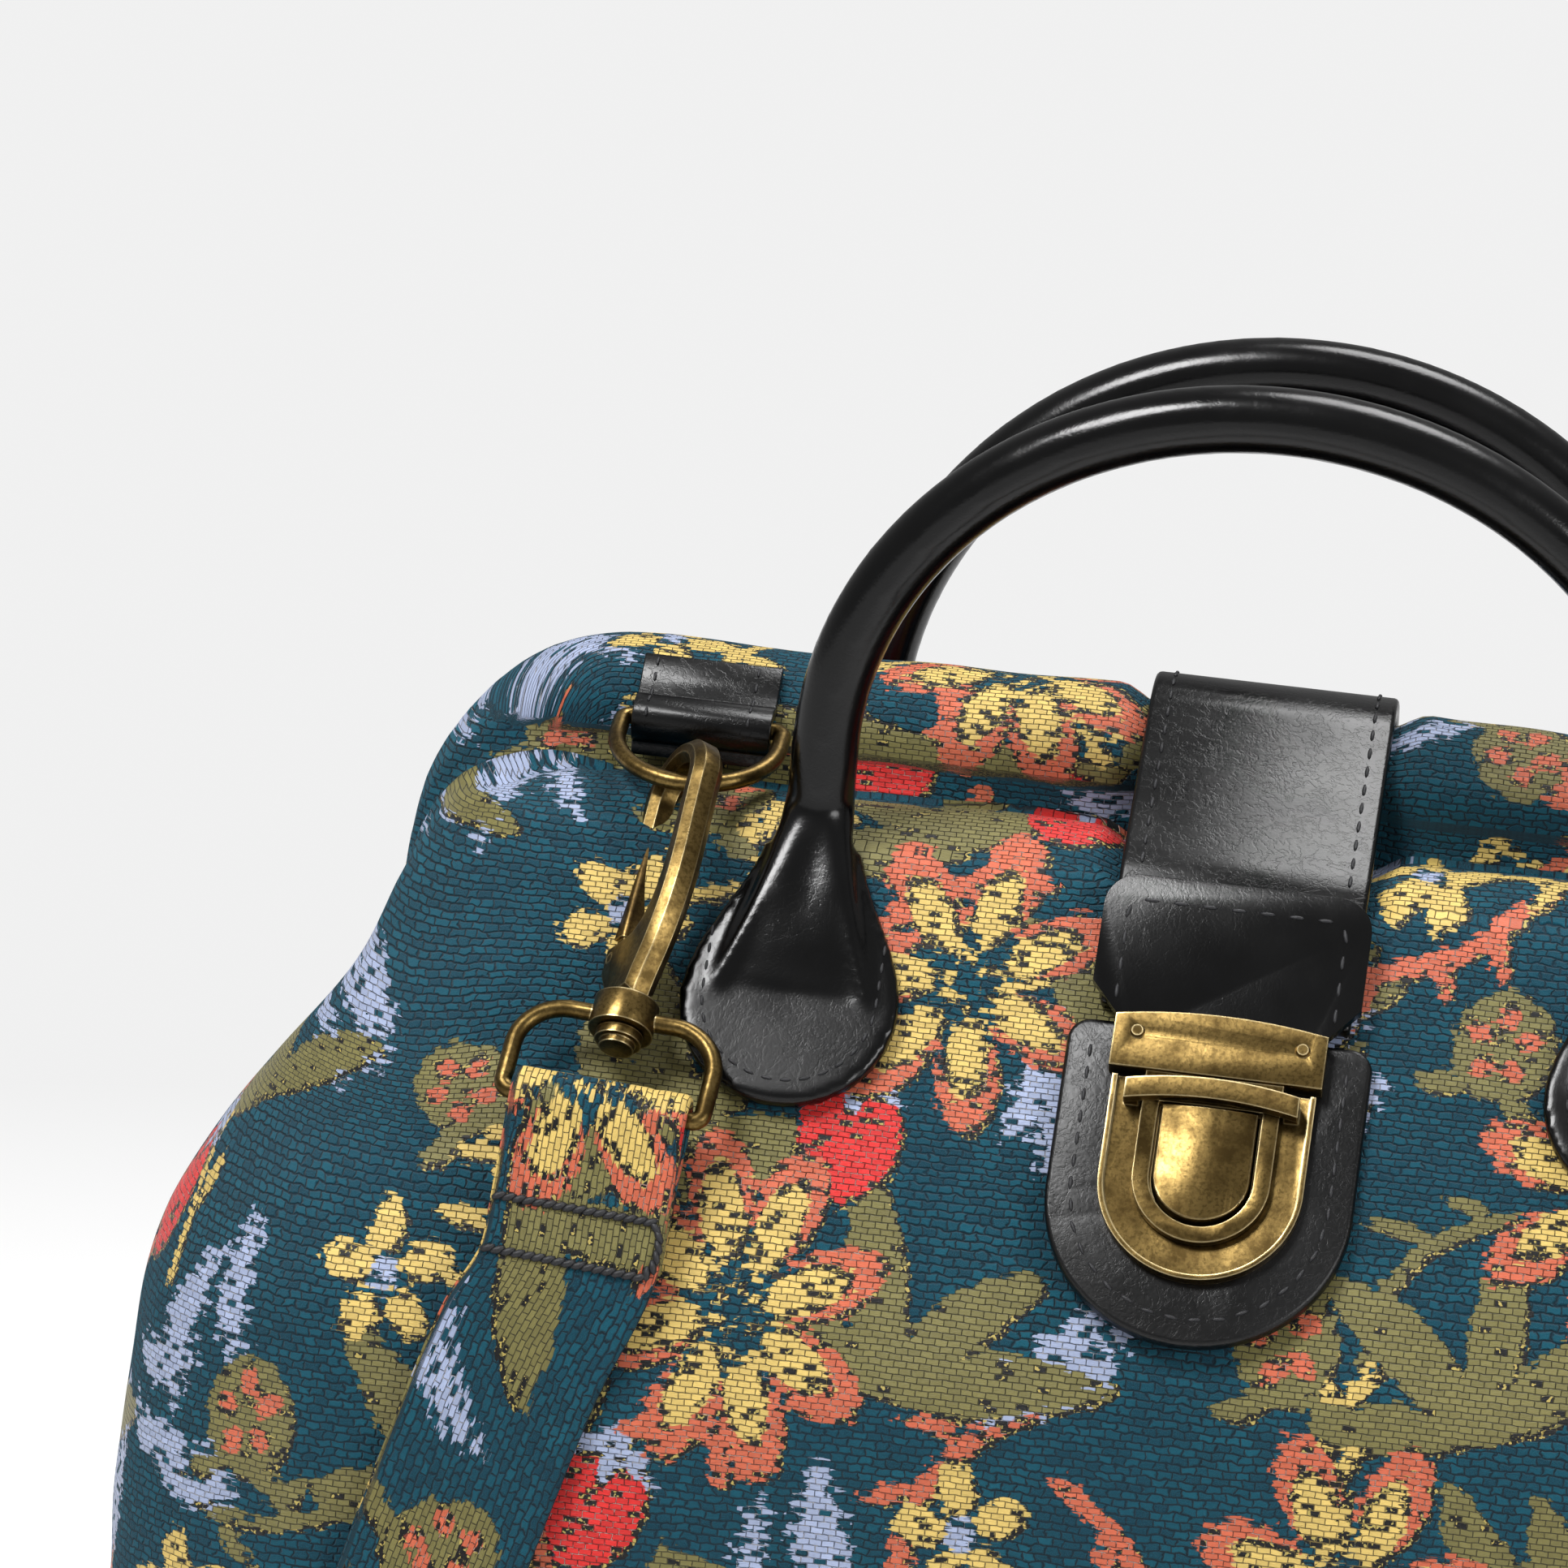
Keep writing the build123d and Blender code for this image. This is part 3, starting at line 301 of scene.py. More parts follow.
# how far a yarn's outline strays from stitch to stitch, and that spread along a row
ragged = {"olive": 1.3, "lavender": 3.4, "coral": 1.5, "cream": 1.6, "red": 1.0}
ROW_SPREAD = 2.2
pale_flecked = ("coral", "red", "lavender")
pale_fleck = colour(232, 224, 216)
dark_fleck = colour(26, 24, 18)
shadow_black = colour(14, 14, 16)
shadow_gold = colour(170, 152, 84)

pile_dark = colour(0, 46, 62)
pile_light = colour(18, 96, 116)
pile_tip = colour(24, 104, 124)
# painted shade for the gaps between tufts
pile_gap_shade = colour(0, 20, 30)
pile_worn = colour(4, 66, 86)


def shaded(yarn, share):
    """A yarn's colour made darker or lighter."""
    return tuple(min(1.0, v * share) for v in yarn[:3]) + (1.0,)


# %% Cloth material
def cells(tree, vector, size, gap, shift=0.5):
    """Bricks of the given size: how near the gap each point is, and a random grey per brick."""
    values = {
        "Vector": vector,
        "Color1": (0, 0, 0, 1),
        "Color2": (1, 1, 1, 1),
        "Mortar": (0.5, 0.5, 0.5, 1),
        "Scale": 1.0,
        "Mortar Size": gap,
        "Mortar Smooth": 1.0,
        "Brick Width": size[0],
        "Row Height": size[1],
    }
    brick = tree.add("TexBrick", values, offset=shift)
    return brick.outputs["Fac"], brick.outputs["Color"]


def pile_colour(tree, place, tufts, fibre):
    """Blue-green tufts with light tips, painted shade in their gaps, worn in wide blotches."""
    gap, shade = tufts
    blotch = tree.noise(place, 0.055, 3.0, 0.6)
    pile = tree.mix(shade, pile_dark, pile_light)
    pile = tree.mix(tree.between(fibre, 0.4, 0.75), pile, pile_tip)
    # painted shade darkens the gaps between the tufts
    pile = tree.mix(tree.between(gap, 0.35, 0.95, 0.0, 0.9), pile, pile_gap_shade)
    return tree.mix(tree.between(blotch, 0.3, 0.7, 0.0, 0.45), pile, pile_worn)


def satin_colour(tree, name, stitches, thread, flecks):
    """Stitches of one yarn, lighter and darker by turns, with flecks and painted shade in their gaps.
    """
    gap, shade = stitches
    yarn = yarns[name]
    look = tree.mix(tree.blend(0.5, shade, thread), shaded(yarn, 0.62), shaded(yarn, 1.18))
    fleck = pale_fleck if name in pale_flecked else dark_fleck
    # the gaps between stitches: painted shade (the yarn darkened), mixed with flecks of weft
    gap_shade_and_fleck = tree.mix(flecks, shaded(yarn, 0.2), fleck)
    return tree.mix(tree.between(gap, 0.45, 1.0, 0.0, 0.85), look, gap_shade_and_fleck)


def cloth_material():
    tree = material_tree("chenille_cloth")
    uv = tree.add("UVMap", uv_map=CLOTH_UV)
    place = tree.stretched(uv, (UV_SCALE, UV_SCALE, 0))
    drift = tree.noise(place, 0.45, output="Color")
    satin_place = tree.shifted(place, drift, (0.5, 0.5, 0))
    tufts = cells(tree, tree.shifted(place, drift, (2.2, 1.3, 0)), TUFT, 0.3, 0.37)
    stitches = cells(tree, satin_place, STITCH, 0.11)
    fibre = tree.noise(place, 5.5, 3.0, 0.7)
    thread = tree.noise(tree.stretched(place, (1.1, 9.0, 0)), 1.0, 1.0)
    row_noise = tree.noise(tree.stretched(place, (0.16, 1.0, 0)), 0.9, 3.0, 0.65)
    streak = tree.math("SUBTRACT", row_noise, 0.5)
    jitter = tree.math("SUBTRACT", stitches[1], 0.5)
    open_stitch = tree.math("LESS_THAN", stitches[1], tree.attribute("speckle"))
    closed = tree.math("SUBTRACT", 1.0, open_stitch)
    flecks = tree.between(tree.noise(satin_place, 0.8), 0.5, 0.56)
    dots = tree.between(tree.noise(place, 1.3, 1.0), 0.57, 0.6)

    shadow = tree.math("ADD", tree.attribute("shadow"), jitter)
    satin = tree.between(shadow, 0.1, -0.1)
    pile = pile_colour(tree, place, tufts, fibre)
    woven = tree.mix(satin, pile, tree.mix(dots, shadow_black, shadow_gold))
    for name, stray in ragged.items():
        reach = tree.math("MULTIPLY_ADD", jitter, stray, tree.attribute(name))
        reach = tree.math("MULTIPLY_ADD", streak, stray * ROW_SPREAD, reach)
        mask = tree.math("MULTIPLY", tree.between(reach, 0.08, -0.08), closed)
        woven = tree.mix(mask, woven, satin_colour(tree, name, stitches, thread, flecks))
        satin = tree.math("MAXIMUM", satin, mask)

    tuft_height = tree.math("SUBTRACT", 1.0, tufts[0])
    tuft_height = tree.math("MULTIPLY_ADD", tufts[1], 0.45, tuft_height)
    pile_height = tree.math("MULTIPLY_ADD", fibre, 0.6, tuft_height)
    flat_height = tree.math("MULTIPLY_ADD", stitches[0], -0.75, 0.35)
    flat_height = tree.math("MULTIPLY_ADD", thread, 0.12, flat_height)
    return tree.surface(
        Base_Color=woven,
        Roughness=tree.blend(satin, 0.93, 0.46),
        Specular_IOR_Level=0.3,
        Sheen_Weight=0.04,
        Sheen_Roughness=0.5,
        Normal=tree.bump(tree.blend(satin, pile_height, flat_height), 1.0 * MM),
    )


chenille = cloth_material()
print("cloth material", len(chenille.node_tree.nodes), "nodes")

# %% [markdown]
# Leather has a fine grain, longer wrinkles and a polish that is a little uneven. The numbers differ
# between the smooth rolled handles and the grained patch under the lock, so one function makes
# them all.

# %% Leather and thread materials
def leather_material(name, grain_size, grain_depth, wrinkle_depth, gloss):
    tree = material_tree(name)
    place = tree.place()
    cell = {"Vector": place, "Scale": 1 / (grain_size * MM)}
    grain = tree.add("TexVoronoi", cell, feature="SMOOTH_F1").outputs["Distance"]
    fine = tree.noise(place, 1 / (grain_size * 0.6 * MM), 3.0, 0.6)
    drift = tree.noise(place, 180.0, output="Color")
    bent_place = tree.shifted(place, drift, (4 * MM, 4 * MM, 4 * MM))
    wrinkle = tree.math("SUBTRACT", tree.noise(bent_place, 420.0, 4.0, 0.6), 0.5)
    crease = tree.between(tree.math("ABSOLUTE", wrinkle), 0.0, 0.05)
    cloud = tree.noise(place, 40.0, 3.0, 0.6)
    normal = tree.bump(tree.math("MULTIPLY_ADD", fine, 0.5, grain), grain_depth * MM, 0.5)
    return tree.surface(
        Base_Color=tree.mix(cloud, colour(2, 2, 3), colour(8, 8, 9)),
        Roughness=tree.between(cloud, 0.3, 0.7, gloss - 0.05, gloss + 0.09),
        Specular_IOR_Level=0.36,
        Normal=tree.bump(crease, wrinkle_depth * MM, 0.5, normal),
    )


def thread_material():
    tree = material_tree("black_thread")
    twist = tree.noise(tree.place(), 2600.0)
    return tree.surface(
        Base_Color=tree.mix(twist, colour(9, 9, 10), colour(38, 38, 42)),
        Roughness=0.55,
        Normal=tree.bump(twist, 0.08 * MM, 0.9),
    )


smooth_leather = leather_material("smooth_leather", 0.5, 0.012, 0.012, 0.2)
strap_leather = leather_material("strap_leather", 0.55, 0.02, 0.03, 0.25)
grained_leather = leather_material("grained_leather", 0.75, 0.06, 0.03, 0.34)
black_thread = thread_material()
print("leather and thread materials made")

# %% [markdown]
# The hardware is plated to look like old brass: a painted highlight along the edges, brown in the
# hollows and mottled between. A bevel lookup finds the edges, and noise makes the mottling.

# %% Metal materials
def brass_material(name, dark, middle, edge_highlight, roughness):
    tree = material_tree(name)
    place = tree.place()
    cloud = tree.noise(place, 170.0, 5.0, 0.65)
    speck = tree.noise(place, 1500.0, 3.0, 0.6)
    rounded = tree.add("Bevel", {"Radius": 0.5 * MM}, samples=6)
    flat = tree.add("NewGeometry").outputs["Normal"]
    turn = tree.add("VectorMath", {0: rounded, 1: flat}, operation="DOT_PRODUCT")
    # the edges, where the rounded normal turns away from the flat one, get a painted highlight
    edge = tree.between(turn.outputs["Value"], 0.995, 0.93)
    body = tree.mix(tree.between(cloud, 0.36, 0.62), dark, middle)
    body = tree.mix(tree.between(speck, 0.48, 0.62, 0.0, 0.6), body, dark)
    body = tree.mix(tree.math("MULTIPLY", edge, 0.8), body, edge_highlight)
    scratches = tree.noise(tree.stretched(place, (900.0, 6000.0, 900.0)), 1.0)
    height = tree.math("ADD", speck, tree.math("MULTIPLY", scratches, 0.5))
    return tree.surface(
        Base_Color=body,
        Metallic=1.0,
        Roughness=tree.between(cloud, 0.3, 0.7, roughness + 0.1, roughness - 0.04),
        Normal=tree.bump(height, 0.03 * MM, 0.6),
    )


def plain_material(name, low, high, scale, depth, roughness, metallic):
    """A quiet finish for the pieces inside the bag, from one cloudy noise."""
    tree = material_tree(name)
    cloud = tree.noise(tree.place(), scale, 4.0, 0.6)
    return tree.surface(
        Base_Color=tree.mix(cloud, colour(*low), colour(*high)),
        Metallic=metallic,
        Roughness=roughness,
        Normal=tree.bump(cloud, depth * MM, 0.7),
    )


# each brass's last colour is the painted highlight on its edges
brass = brass_material(
    "antique_brass", colour(70, 57, 34), colour(126, 105, 64), colour(216, 196, 148), 0.31
)
dark_brass = brass_material(
    "dark_brass", colour(52, 42, 28), colour(98, 80, 50), colour(178, 152, 102), 0.36
)
steel = plain_material("frame_steel", (120, 120, 122), (160, 160, 162), 300, 0.02, 0.35, 1.0)
lining_cloth = plain_material("lining_cloth", (34, 30, 28), (62, 56, 50), 2200, 0.15, 0.85, 0.0)
board_fibre = plain_material("board_fibre", (40, 38, 36), (70, 66, 60), 900, 0.1, 0.8, 0.0)
print("metal materials made")

# %% [markdown]
# The body is one closed form with the two cloth rolls round the mouth frames grown onto it, as the
# cloth is stretched over frames on the real bag. Rounded rectangles at a few heights give the body,
# a tube bent to an upturned U gives each roll, and a voxel remesh joins them into one even skin.

# %% Body sizes, in millimetres
HINGE_Z = 196.0
HALF_W = 181.0
HALF_D = 88.0
LEG_X = 133.0
SLOPE_RUN = 0.7002  # the slopes lean in 35 degrees
FRONT_ROLL = (-19.0, 217.2, 14.0)  # place in y and z, and radius
BACK_ROLL = (5.0, 236.1, 16.0)
FRONT_SLOPE_TOP = (-36.0, 222.0)
BACK_SLOPE_TOP = (26.0, 240.0)
BASE_SEAM_Z = 22.0
SEAM_LOW = 48.0  # from the middle to the end seams at the base, and at the hinges
SEAM_HIGH = 10.0
SHOULDER_Z = 176.0  # where the straight slopes start
BASE_Z = 8.0
MOUTH_LEAN = radians(16.0)


def front_slope_y(z):
    return FRONT_SLOPE_TOP[0] - (FRONT_SLOPE_TOP[1] - z) * SLOPE_RUN


def back_slope_y(z):
    return BACK_SLOPE_TOP[0] + (BACK_SLOPE_TOP[1] - z) * SLOPE_RUN


# height, half width, front, back and corner radius
body_levels = [
    (BASE_Z, HALF_W - 20, -HALF_D + 18, HALF_D - 18, 30),
    (BASE_Z + 4, HALF_W - 11, -HALF_D + 9, HALF_D - 9, 34),
    (BASE_Z + 17, HALF_W - 5, -HALF_D + 3, HALF_D - 3, 38),
    (BASE_Z + 62, HALF_W - 2, -HALF_D, HALF_D, 40),
    (BASE_Z + 115, HALF_W, -HALF_D + 1.5, HALF_D - 0.5, 42),
    (BASE_Z + 142, HALF_W - 4, -HALF_D + 5.5, HALF_D - 3.5, 44),
    (SHOULDER_Z, HALF_W - 19, front_slope_y(SHOULDER_Z), back_slope_y(SHOULDER_Z), 42),
    (HINGE_Z, HALF_W - 32, front_slope_y(HINGE_Z), back_slope_y(HINGE_Z), 38),
    (208, HALF_W - 36, front_slope_y(208), back_slope_y(208), 34),
    (224, HALF_W - 42, front_slope_y(224), back_slope_y(224), 28),
    (248, HALF_W - 54, front_slope_y(248), back_slope_y(248), 16),
]
level_table = np.array(body_levels, float)


def hermite(t, step, low, high, low_slope, high_slope):
    """Values on a smooth curve from low to high that leaves and arrives at the given slopes."""
    return (
        (2 * t**3 - 3 * t**2 + 1) * low
        + (t**3 - 2 * t**2 + t) * step * low_slope
        + (3 * t**2 - 2 * t**3) * high
        + (t**3 - t**2) * step * high_slope
    )


def smooth_levels(z):
    """The four sizes of the body's section at each height, on a smooth curve through the levels."""
    z = np.clip(np.asarray(z, float), level_table[0, 0], level_table[-1, 0])
    heights, sizes = level_table[:, 0], level_table[:, 1:]
    i = np.clip(np.searchsorted(heights, z) - 1, 0, len(heights) - 2)
    slopes = np.gradient(sizes, heights, axis=0)
    step = (heights[i + 1] - heights[i])[:, None]
    t = ((z - heights[i]) / (heights[i + 1] - heights[i]))[:, None]
    return hermite(t, step, sizes[i], sizes[i + 1], slopes[i], slopes[i + 1])


def rounded_loop(side, front, back, corner, per_corner=14):
    """Points round a rounded rectangle, anticlockwise from above."""
    points = []
    corners = (
        (side - corner, back - corner, 0),
        (-side + corner, back - corner, 90),
        (-side + corner, front + corner, 180),
        (side - corner, front + corner, 270),
    )
    for x, y, start in corners:
        for k in range(per_corner):
            turn = radians(start + 90 * k / (per_corner - 1))
            points.append((x + corner * cos(turn), y + corner * sin(turn)))
    return points


def bridge_rings(rings):
    """Quads between rings of equal length, closed with a face at each end."""
    count = len(rings[0])
    vertices = [point for ring in rings for point in ring]
    faces = []
    for r in range(len(rings) - 1):
        for k in range(count):
            a, b = r * count + k, r * count + (k + 1) % count
            faces.append((a, b, b + count, a + count))
    faces.append(tuple(reversed(range(count))))
    faces.append(tuple((len(rings) - 1) * count + k for k in range(count)))
    return vertices, faces


def bow_path(roll_y, roll_z, bend=26.0, bend_steps=10):
    """The roll's middle line, from the left hinge up, across and down to the right one."""
    height = hypot(roll_y, roll_z - HINGE_Z)
    points = [(-LEG_X, 0.0)]
    for k in range(bend_steps + 1):
        turn = pi - pi / 2 * k / bend_steps
        points.append((-LEG_X + bend + bend * cos(turn), height - bend + bend * sin(turn)))
    points += [(-x, h) for x, h in reversed(points)]
    return [
        Vector((x, h * roll_y / height, HINGE_Z + h * (roll_z - HINGE_Z) / height))
        for x, h in points
    ]


def tube_rings(path, radii, sides=28):
    """Rings of points round a path, each square to it, with a radius for each of its points."""
    rings = []
    across = Vector((0, 1, 0))
    turns = [2 * pi * k / sides for k in range(sides)]
    for i, (point, reach) in enumerate(zip(path, radii)):
        ahead = path[min(i + 1, len(path) - 1)] - path[max(i - 1, 0)]
        ahead.normalize()
        across = (across - ahead * across.dot(ahead)).normalized()
        other = ahead.cross(across)
        rings.append([point + across * (reach * cos(a)) + other * (reach * sin(a)) for a in turns])
    return rings


def tube_form(path, radii, sides=28):
    """Points and faces of a closed tube, in metres, round a path in millimetres."""
    return bridge_rings([[p * MM for p in ring] for ring in tube_rings(path, radii, sides)])


def join_forms(name, forms):
    """One object from several closed forms."""
    vertices, faces = [], []
    for points, polygons in forms:
        faces += [tuple(i + len(vertices) for i in face) for face in polygons]
        vertices += points
    piece = new_object(name, vertices, faces)
    edit_mesh(piece, outward)
    return piece


# %% Body skin
VOXEL = 1.75
FRONT_TOP = 225.2  # the body ends inside the front roll here, and inside the back roll at BACK_TOP
BACK_TOP = 245.2
BEHIND_FRONT = -6.0


def skin_form():
    """The body's sections up to the front roll, then those of the part behind it."""
    rings = []
    low = np.linspace(BASE_Z, FRONT_TOP, 92)
    for z, (side, front, back, corner) in zip(low, smooth_levels(low)):
        loop = rounded_loop(side, front, back, corner)
        rings.append([Vector((x, y, z)) * MM for x, y in loop])
    high = np.linspace(FRONT_TOP, BACK_TOP, 10)
    for z, (side, _, back, corner) in zip(high, smooth_levels(high)):
        loop = rounded_loop(side, BEHIND_FRONT, back, min(corner, (back - BEHIND_FRONT) * 0.45))
        rings.append([Vector((x, y, z)) * MM for x, y in loop])
    return bridge_rings(rings)


def roll_form(roll_y, roll_z, roll_r):
    path = bow_path(roll_y, roll_z)
    return tube_form(path, [roll_r] * len(path))


def remesh_smooth(piece, voxel, steps):
    """Joins a piece's parts into one even skin and softens what the voxels leave."""
    remesh = piece.modifiers.new("remesh", "REMESH")
    remesh.mode = "VOXEL"
    remesh.voxel_size = voxel * MM
    remesh.use_smooth_shade = True
    smooth = piece.modifiers.new("smooth", "SMOOTH")
    smooth.factor = 0.5
    smooth.iterations = steps
    apply_modifiers(piece)


skin = join_forms("body_skin", [skin_form(), roll_form(*FRONT_ROLL), roll_form(*BACK_ROLL)])
remesh_smooth(skin, VOXEL, 6)
print("body skin", len(skin.data.vertices), "vertices")

# %% [markdown]
# A seam is a shallow groove whose cloth puckers between the stitches. The grooves run where the
# ends meet the front and back, round the base, and down between the two rolls. Low waves over the
# whole skin make the filling look soft.

# %% Seams and soft waves
STRAP_PRESS = 3.8  # how far the closing strap presses into the rolls
STRAP_HALF = (19, 27)  # where that hollow starts to rise, and where it ends
MOUTH_GROOVE = (1.5, 2.0)  # depth and width
END_GROOVE = (1.25, 2.2)
BASE_GROOVE = (1.2, 2.2)
PUCKER_PITCH = 7.0
PUCKER_SHARE = 0.35
END_TUCK = 2.2  # how far the ends fold in under the hinges


def waves(place, count, shortest, longest, seed):
    """A smooth random field between about -1 and 1, from a sum of plane waves (millimetres)."""
    pick = np.random.default_rng(seed)
    total = np.zeros(len(place))
    for _ in range(count):
        direction = pick.normal(size=3)
        direction /= np.linalg.norm(direction)
        length = pick.uniform(shortest, longest)
        total += np.sin(place @ direction * (2 * pi / length) + pick.uniform(0, 2 * pi))
    return total / np.sqrt(count)


def seam_y(z):
    """How far the end seams lie from the middle, front and back."""
    return SEAM_LOW + (z - BASE_Z) * (SEAM_HIGH - SEAM_LOW) / (HINGE_Z - BASE_Z)


def past_mouth(y, z):
    """How far behind the mouth's leaning plane a place is."""
    return y * cos(MOUTH_LEAN) + (z - HINGE_Z) * sin(MOUTH_LEAN)


def groove(distance, depth, width):
    return depth * np.exp(-((distance / width) ** 2))


def ramp(value, low, high):
    """0 up to low, 1 from high, and a soft rise between."""
    t = np.clip((value - low) / (high - low), 0, 1)
    return t * t * (3 - 2 * t)


place = vertex_vectors(skin.data, "co") / MM
normal = vertex_vectors(skin.data, "normal")
x, y, z = place.T
from_seam = np.abs(y) - seam_y(z)
end_zone = ramp(np.abs(x), 110, 128) * ramp(z, 20, 26) * ramp(-z, -212, -200)
pucker = 1 + PUCKER_SHARE * np.sin(z * 2 * pi / PUCKER_PITCH)
inward = groove(past_mouth(y, z), *MOUTH_GROOVE) * ramp(z, 205, 215)
inward += groove(from_seam, *END_GROOVE) * pucker * end_zone
inward += groove(z - BASE_SEAM_Z, *BASE_GROOVE)
tuck = ramp(np.abs(x), 118, 140) * ramp(z, 160, HINGE_Z) * np.exp(-((y / 9) ** 2))
inward += END_TUCK * tuck
inward += STRAP_PRESS * 0.9 * (1 - ramp(np.abs(x), *STRAP_HALF)) * ramp(z, 205, 232)
swell = 0.75 * waves(place, 9, 55, 130, 3) + 0.3 * waves(place, 9, 18, 40, 5)
swell *= ramp(z, 12, 40)
place += normal * (swell - inward)[:, None]
place[:, 2] = np.maximum(place[:, 2], BASE_Z)
set_coordinates(skin.data, place * MM)
print("deepest groove", round(float(inward.max()), 1), "mm")

# %% [markdown]
# The skin is cut along its seams into the pieces of cloth that a maker would sew: a front and a
# back that each cover a roll, two ends, and the base. The front has an opening behind the lock, out
# of sight, where the pressed button goes.

# %% Cloth pieces
END_X = 100.0  # the ends lie outside this
END_TOP = HINGE_Z + 6.0
LOCK_HALF = 12.0
LOCK_REACH = (36.0, 62.0)  # down the slope, from the lock's top to its low end


def cut(bm, faces, point, direction):
    """Cuts some faces along a plane, so that a seam runs between whole faces."""
    corners = {v for f in faces for v in f.verts}
    edges = {e for f in faces for e in f.edges}
    bmesh.ops.bisect_plane(
        bm,
        geom=list(corners) + list(edges) + faces,
        dist=0.02 * MM,
        plane_co=Vector(point) * MM,
        plane_no=Vector(direction),
    )


def end_faces(bm):
    return [f for f in bm.faces if abs(f.calc_center_median().x) > END_X * MM]


def cut_seams(bm):
    cut(bm, bm.faces[:], (0, 0, BASE_SEAM_Z), (0, 0, 1))
    lean = atan2(SEAM_LOW - SEAM_HIGH, HINGE_Z - BASE_Z)
    for side in (-1, 1):
        cut(bm, end_faces(bm), (0, side * SEAM_LOW, BASE_Z), (0, side * cos(lean), sin(lean)))
    cut(bm, end_faces(bm), (0, 0, END_TOP), (0, 0, 1))
    cut(bm, bm.faces[:], (0, 0, HINGE_Z), (0, cos(MOUTH_LEAN), sin(MOUTH_LEAN)))


edit_mesh(skin, cut_seams)


def behind_lock(x, y, z):
    """Whether a place on the front slope is hidden by the lock, where its button needs room."""
    down_slope = (FRONT_SLOPE_TOP[1] - z) / cos(radians(35))
    return abs(x) < LOCK_HALF and LOCK_REACH[0] < down_slope < LOCK_REACH[1] and y < 0


def cloth_part(x, y, z):
    if behind_lock(x, y, z):
        return "cut away"
    if z < BASE_SEAM_Z:
        return "base"
    if abs(x) > END_X and abs(y) < seam_y(z) and z < END_TOP:
        return "end_left" if x < 0 else "end_right"
    return "front" if past_mouth(y, z) < 0 else "back"


def take_part(name, part, labels):
    """A new object with the faces of one part of the skin."""
    piece = new_object(name, [], [])
    bm = bmesh.new()
    bm.from_mesh(skin.data)
    bm.faces.ensure_lookup_table()
    others = [bm.faces[i] for i, label in enumerate(labels) if label != part]
    bmesh.ops.delete(bm, geom=others, context="FACES")
    bm.to_mesh(piece.data)
    bm.free()
    piece.data.shade_smooth()
    return piece


labels = [cloth_part(*(Vector(polygon.center) / MM)) for polygon in skin.data.polygons]
cloth_parts = {
    part: take_part("cloth_" + part, part, labels)
    for part in ("front", "back", "end_left", "end_right", "base")
}
bpy.data.objects.remove(skin)
for part, piece in cloth_parts.items():
    print("cloth", part, len(piece.data.polygons), "faces")

# %% [markdown]
# Each piece of cloth needs flat coordinates, in millimetres along the rows and across them. The
# front and back run straight up the slope and over the roll. At the rounded corners the
# coordinate follows the curve, so that the rows keep their width there.

# %% Cloth coordinates
SLOPE_SIN = sin(radians(55))
ROUND_SIN = 0.95  # how steep the rounded ends are
NO_LENGTH = 1e-6


def wrapped(place, side, roll):
    """u and v for a front or back piece."""
    px, py, pz = place.T
    sizes = smooth_levels(pz)
    half, corner = sizes[:, 0], sizes[:, 3]
    face_y = np.abs(sizes[:, 1] if side < 0 else sizes[:, 2])
    over = np.abs(px) - (half - corner)
    across = np.maximum(np.abs(py) - (face_y - corner), 0.0)
    turn = np.arctan2(np.maximum(over, 0), np.maximum(across, NO_LENGTH))
    past_corner = (half - corner) + corner * pi / 2 + (face_y - corner - np.abs(py))
    bent = np.where(over > 0, (half - corner) + corner * turn, np.abs(px))
    bent = np.where(across <= 0, past_corner, bent)
    # above the body's own slope the roll bulges out, so the corner fades back to plain x there
    keep = ramp(pz, SHOULDER_Z, 200)
    u = np.sign(px) * (bent * (1 - keep) + np.abs(px) * keep)

    roll_y, roll_z, roll_r = roll
    tangent_z = roll_z + roll_r * cos(radians(55))
    lean = atan2(tangent_z - roll_z, roll_r * SLOPE_SIN)
    around = np.arctan2(pz - roll_z, side * (py - roll_y)) - lean
    shoulder_v = (SHOULDER_Z - tangent_z) / SLOPE_SIN
    on_slope_v = (pz - tangent_z) / SLOPE_SIN
    slope_v = np.where(pz >= SHOULDER_Z, on_slope_v, shoulder_v + pz - SHOULDER_Z)
    on_roll = (around > 0) & (pz > roll_z - roll_r * 0.2)
    v = np.where(on_roll, roll_r * around, slope_v)
    fade = ramp(np.abs(px), 112, 140) * ramp(pz, 170, 190)
    return u, v * (1 - fade) + (pz - tangent_z) / ROUND_SIN * fade


def flat_coordinates(part, place):
    x, y, z = place.T
    if part == "front":
        return wrapped(place, -1, FRONT_ROLL)
    if part == "back":
        return wrapped(place, 1, BACK_ROLL)
    if part == "base":
        climb = z - BASE_Z
        return x + np.sign(x) * climb, y + np.sign(y) * climb
    return y, z


def write_attribute(mesh, name, values):
    layer = mesh.attributes.new(name, "FLOAT", "POINT")
    layer.data.foreach_set("value", values.astype(np.float32))


def write_uv(mesh, u, v):
    layer = mesh.uv_layers.new(name=CLOTH_UV)
    corner = np.empty(len(mesh.loops), np.int32)
    mesh.loops.foreach_get("vertex_index", corner)
    uv = np.stack([u, v], 1)[corner] / UV_SCALE
    layer.data.foreach_set("uv", uv.astype(np.float32).ravel())


# %% [markdown]
# The flowers are drawn as distances in flat cloth millimetres. A stroke with a width at each of its
# points makes stems and leaves, and an ellipse makes petals and berries. Later shapes cut into
# earlier ones, and a seeded generator scatters them on a loose grid, so every piece of cloth has
# its own layout.

# %% Flower shapes
def ellipse(p, centre, size, turn=0.0):
    c, s = cos(turn), sin(turn)
    q = p - np.array(centre)
    along = (q[:, 0] * c + q[:, 1] * s) / size[0]
    off = (-q[:, 0] * s + q[:, 1] * c) / size[1]
    return (np.hypot(along, off) - 1) * min(size)


